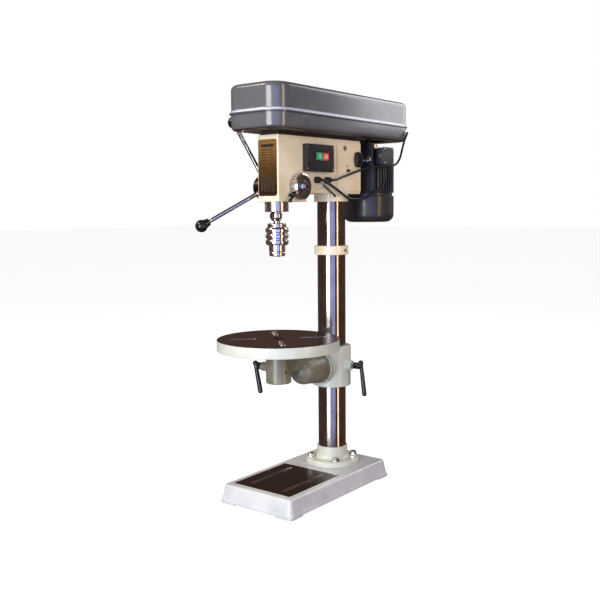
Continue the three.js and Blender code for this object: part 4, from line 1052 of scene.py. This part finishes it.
def makePulley(name, y, steps, bore, hubBottom, body):
    outline = [(bore, hubBottom, 0.3), (13, hubBottom, 0.8), (13, pulley["bottom"])]
    flange = (pulley["step"] - pulley["belt"]) / 2 - 0.3
    for i, radius in enumerate(steps):
        low, floor = pulley["bottom"] + i * pulley["step"], radius - pulley["groove"]
        high = low + pulley["step"]
        outline += [(radius, low + 0.2, 0.5), (radius, low + flange, 0.5), (floor, low + flange + 2.2, 0.4),
                    (floor, high - flange - 2.2, 0.4), (radius, high - flange, 0.5), (radius, high - 0.2, 0.3)]
    top = pulley["bottom"] + len(steps) * pulley["step"]
    outline += [(13, top), (13, top + 5, 0.8), (bore, top + 5, 0.3)]
    done(lathe(outline, at(0, y), 96, 2), name + "_turned", castAlloy, body, [name])


def beltOutline(grow):
    spindleR = pulley["spindle"][1] - pulley["groove"] + 0.3 + grow
    motorR = pulley["motor"][1] - pulley["groove"] + 0.3 + grow
    lean = math.asin((spindleR - motorR) / (motorY - spindleY))
    line = []
    for middle, radius, start, end in ((spindleY, spindleR, math.pi - lean, 2 * math.pi + lean),
                                       (motorY, motorR, lean, math.pi - lean)):
        for step in range(25):
            angle = start + (end - start) * step / 24
            line.append((radius * math.cos(angle), middle + radius * math.sin(angle)))
    runs = []
    for a, b in ((line[24], line[25]), (line[49], line[0])):  # points along the straight runs, so that they can bend
        runs.append([(a[0] + (b[0] - a[0]) * k / 12, a[1] + (b[1] - a[1]) * k / 12) for k in range(1, 12)])
    return line[:25] + runs[0] + line[25:] + runs[1]


def makeBelt():
    z = pulley["bottom"] + pulley["step"] * 1.5
    stations = [(0.2, z - 1.5), (0, z - 1.1), (0, z + 1.1), (0.2, z + 1.5), (5.6, z + 2.2), (6, z + 1.8), (6, z - 1.8),
                (5.6, z - 2.2), (0.2, z - 1.5)]
    obj = done(lofted(raisedLoops(beltOutline, stations)), "belt", beltRubber, None, ["drive_belt"])
    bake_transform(obj)


makeTray()
makeLid()
makePulley("spindle_pulley", spindleY, pulley["spindle"], 8.6, 869, "spindle_pulley")
makePulley("motor_pulley", motorY, pulley["motor"], 7.3, 898, "rotor")
makeBelt()
print("guard and belt made")

motor = {"radius": 64, "fin": 68, "bottom": 672.5, "seam": 742, "top": 868, "fins": 44}
mount = {"y": 98, "thick": 8, "half": 61, "bottom": 752, "top": 879}


def makeMotor():
    y, face = motorY, mount["y"] + mount["thick"] + 0.3
    radius, tip, seam, top = motor["radius"], motor["fin"], motor["seam"], motor["top"]
    body = lathe([(0, seam + 0.3), (radius, seam + 0.3, 1), (radius, seam + 8, 0.5), (62, seam + 9, 0.5),
                  (62, top - 30, 1), (radius, top - 29, 1), (radius, top - 16, 10), (50, top, 6), (18, top, 1),
                  (16, top + 6, 1), (0, top + 6)], at(0, y), 128, 5)
    pads = soften(block((-40, face, seam + 18), (40, y - 30, top - 8)), 2)
    neck = soften(block((50, 122, 826), (65.7, 152, 862)), 1.5)
    body = weld(body, pads, neck)
    body = carve(body, block((-90, face - 30, 730), (90, face, 900)), bar((0, y, 730), (0, y, 900), 8.3))
    done(body, "motor_body", motorEnamel, "motor", ["motor_frame"])
    fins = []
    for i in range(motor["fins"]):
        angle = (i + 0.5) * 2 * math.pi / motor["fins"]
        tipY = math.sin(angle) * tip + y
        if tipY < face + 12:  # no fins on the side that is bolted to the mount
            continue
        underBox = math.cos(angle) > 0.75 and abs(tipY - 137) < 26  # these stop below the terminal box
        outline = [(61, -1.7), (tip - 0.6, -1.1), (tip, -0.5), (tip, 0.5), (tip - 0.6, 1.1), (61, 1.7)]
        fins.append(slab(outline, seam + 9, 818 if underBox else top - 30, at(0, y, 0, angle)))
    done(gather(*fins), "motor_fins", motorEnamel, "motor")
    low = motor["bottom"]
    fan = rounded([(0, low), (tip, low, 21), (tip, seam, 0.8), (65.4, seam, 0.6), (65.4, low + 2.6, 18.4),
                   (0, low + 2.6)], 10)
    cover = turned(fan, at(0, y), 128)
    slots = [slab(oblong(17, 44, -1.7, 1.7, 1.6, 3), 668, 678, at(0, y, 0, i * math.pi / 12)) for i in range(24)]
    cover = carve(cover, gather(*slots))
    done(cover, "fan_cover", motorEnamel, "motor", ["motor_fan_cover"])
    plate = slab(oblong(-mount["half"], mount["half"], mount["bottom"], mount["top"], 5), 0, mount["thick"],
                 at(0, mount["y"] + mount["thick"]) @ standing)
    rods = [lathe([(0, 0), (7, 0, 0.8), (7, 63.5), (0, 63.5)], along((x, 36, 832), (0, 1, 0)), 64, 4) for x in (-34,
                                                                                                                34)]
    done(soften(plate, 0.9), "mount_plate", motorEnamel, "motor", ["motor_mount"])
    done(gather(*rods), "mount_rods", chromePlate, "motor")
    bolts = []
    for x, z in ((50, 838), (-50, 838), (-50, 790)):
        place = along((x, mount["y"] + 0.1, z), (0, -1, 0))
        bolts += [hexHead(11, 5.4, place), lathe([(0, -0.1), (8.4, -0.1), (8.4, 1.1, 0.3), (0, 1.1)], place, 40, 2)]
    done(gather(*bolts), "mount_bolts", chromePlate, "motor")


def makeTerminalBox():
    lower = soften(block((66, 112, 822), (84.4, 160, 866)), 2.2)
    lid = soften(block((84.7, 110.8, 821), (88, 161.2, 867)), 1)
    done(gather(lower, lid), "terminal_case", motorEnamel, "motor", ["terminal_box"])
    screws = [lathe([(0, -0.2), (2.4, -0.2), (2.2, 1, 0.5), (0, 1.3)], along((88, y, z), (1, 0, 0)),
                    24) for y in (116, 156) for z in (826, 862)]
    screws.append(hexHead(9, 4, along((77, 112.2, 845), (0, -1, 0))))
    done(gather(*screws), "terminal_screws", chromePlate, "motor")
    entry = hexHead(13, 4.6, at(80, 134, 817.2))
    done(carve(entry, bar((80, 134, 810), (80, 134, 830), 3.4)), "terminal_entry", blackAbs, "motor")
    stud = lathe([(0, 0), (7, 0), (7, 2), (4.4, 2.6), (4.4, 9, 1.6), (0, 9.4)], at(66, 106, 866.5), 48, 4)
    done(stud, "lift_bolt", zincPlate, "motor")


def makeTensionKnob():
    place = sidePlate(43, 832)
    wing = rounded([(-11, -19.5, 8), (9, -19.5, 8), (13, 0, 18), (9, 19.5, 8), (-11, 19.5, 8), (-15.5, 0, 18)], 8)
    knob = soften(slab(wing, 3, 13.5, place), 2.6, 4)
    hub = lathe([(0, 12), (7, 12), (7, 16, 1.4), (0, 16)], place, 48, 4)
    stem = turned([(0, -6.5), (4, -6.5), (4, 4), (0, 4)], place, 32)
    done(weld(knob, hub, stem), "belt_tension_knob", blackPhenolic, "tension_knob", ["tension_knob"])


makeMotor()
makeTerminalBox()
makeTensionKnob()
print("motor made")

kept = {  # CAD nodes that stay as they are, each in its own finish
    "tilt_bolt": darkTurnedSteel, "feed_shaft": turnedSteel, "return_spring": darkTurnedSteel,
    "pulley_bearing": chromePlate, "guard_hinge_pin": chromePlate, "motor_rotor": darkTurnedSteel,
    "motor_fan": blackAbs,
}
for node, finish in kept.items():
    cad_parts[node].data.materials.clear()
    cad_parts[node].data.materials.append(finish)

studio = {"floor": "a2a2a0", "glow": 0.86, "air": "ffffff", "fill": 0.36, "gloss": 0.15, "reach": 30.0}
lights = [  # name, bearing from the front in degrees, distance and height in m, width and height in m, watts, colour
    ("key", -34, 2.4, 2.7, (1.2, 1.0), 58, "fff0da"),
    ("tall_left", 7, 3.0, 0.6, (1.35, 2.6), 88, "fffdf8"),
    ("window", 38, 3.2, 0.6, (3.2, 2.8), 50, "aebcff"),
    ("warm_right", 88, 2.6, 0.6, (0.4, 2.8), 26, "ffd7ae"),
    ("rear", 160, 2.8, 1.9, (1.6, 1.6), 30, "f6f8ff"),
]


def makeStudio():
    floorMaterial, tree, shader, where = startMaterial(
        "paintedStudioFloor", {"Roughness": 0.7, "IOR": 1.4, "Emission Color": colour("ffffff"),
                               "Emission Strength": studio["glow"]})
    cloud = noiseOf(tree, where, 300, detail=2)
    tree.links.new(rampOf(tree, cloud, [(0.2, colour("989896")), (0.8, colour(studio["floor"]))]),
                   shader.inputs["Base Color"])
    floor = fresh(bpy.ops.mesh.primitive_plane_add, size=2 * studio["reach"])
    floor.name = "studio_floor"
    floor.data.materials.append(floorMaterial)
    floor.visible_glossy = False
    floor.visible_diffuse = False
    world = bpy.data.worlds.new("studioAir")
    bpy.context.scene.world = world
    world.use_nodes = True
    air = world.node_tree
    air.nodes.clear()
    path = addNode(air, "ShaderNodeLightPath").outputs
    back = lambda tone, strength: addNode(
        air, "ShaderNodeBackground", {"Color": colour(tone), "Strength": strength}).outputs[0]
    mix = lambda part, first, second: addNode(
        air, "ShaderNodeMixShader", None, {0: part, 1: first, 2: second}).outputs[0]
    lit = mix(path["Is Glossy Ray"], back("e3e7ee", studio["fill"]), back("ffccb8", studio["gloss"]))
    addNode(air, "ShaderNodeOutputWorld", None, {
        "Surface": mix(path["Is Camera Ray"], lit, back(studio["air"], 1.0))})
    bpy.context.scene.view_settings.view_transform = "Standard"  # whites stay white
    for name, bearing, away, height, size, power, tint in lights:
        lamp = bpy.data.lights.new(name, "AREA")
        lamp.shape = "RECTANGLE"
        lamp.size, lamp.size_y = size
        lamp.energy = power
        lamp.color = colour(tint)[:3]
        obj = bpy.data.objects.new(name, lamp)
        obj.visible_camera = False
        bpy.context.scene.collection.objects.link(obj)
        angle = math.radians(bearing)
        obj.location = (away * math.sin(angle), -away * math.cos(angle), height)
        obj.rotation_euler = (Vector((0, 0, 0.6)) - obj.location).to_track_quat("-Z", "Y").to_euler()


makeStudio()
print("studio lit")
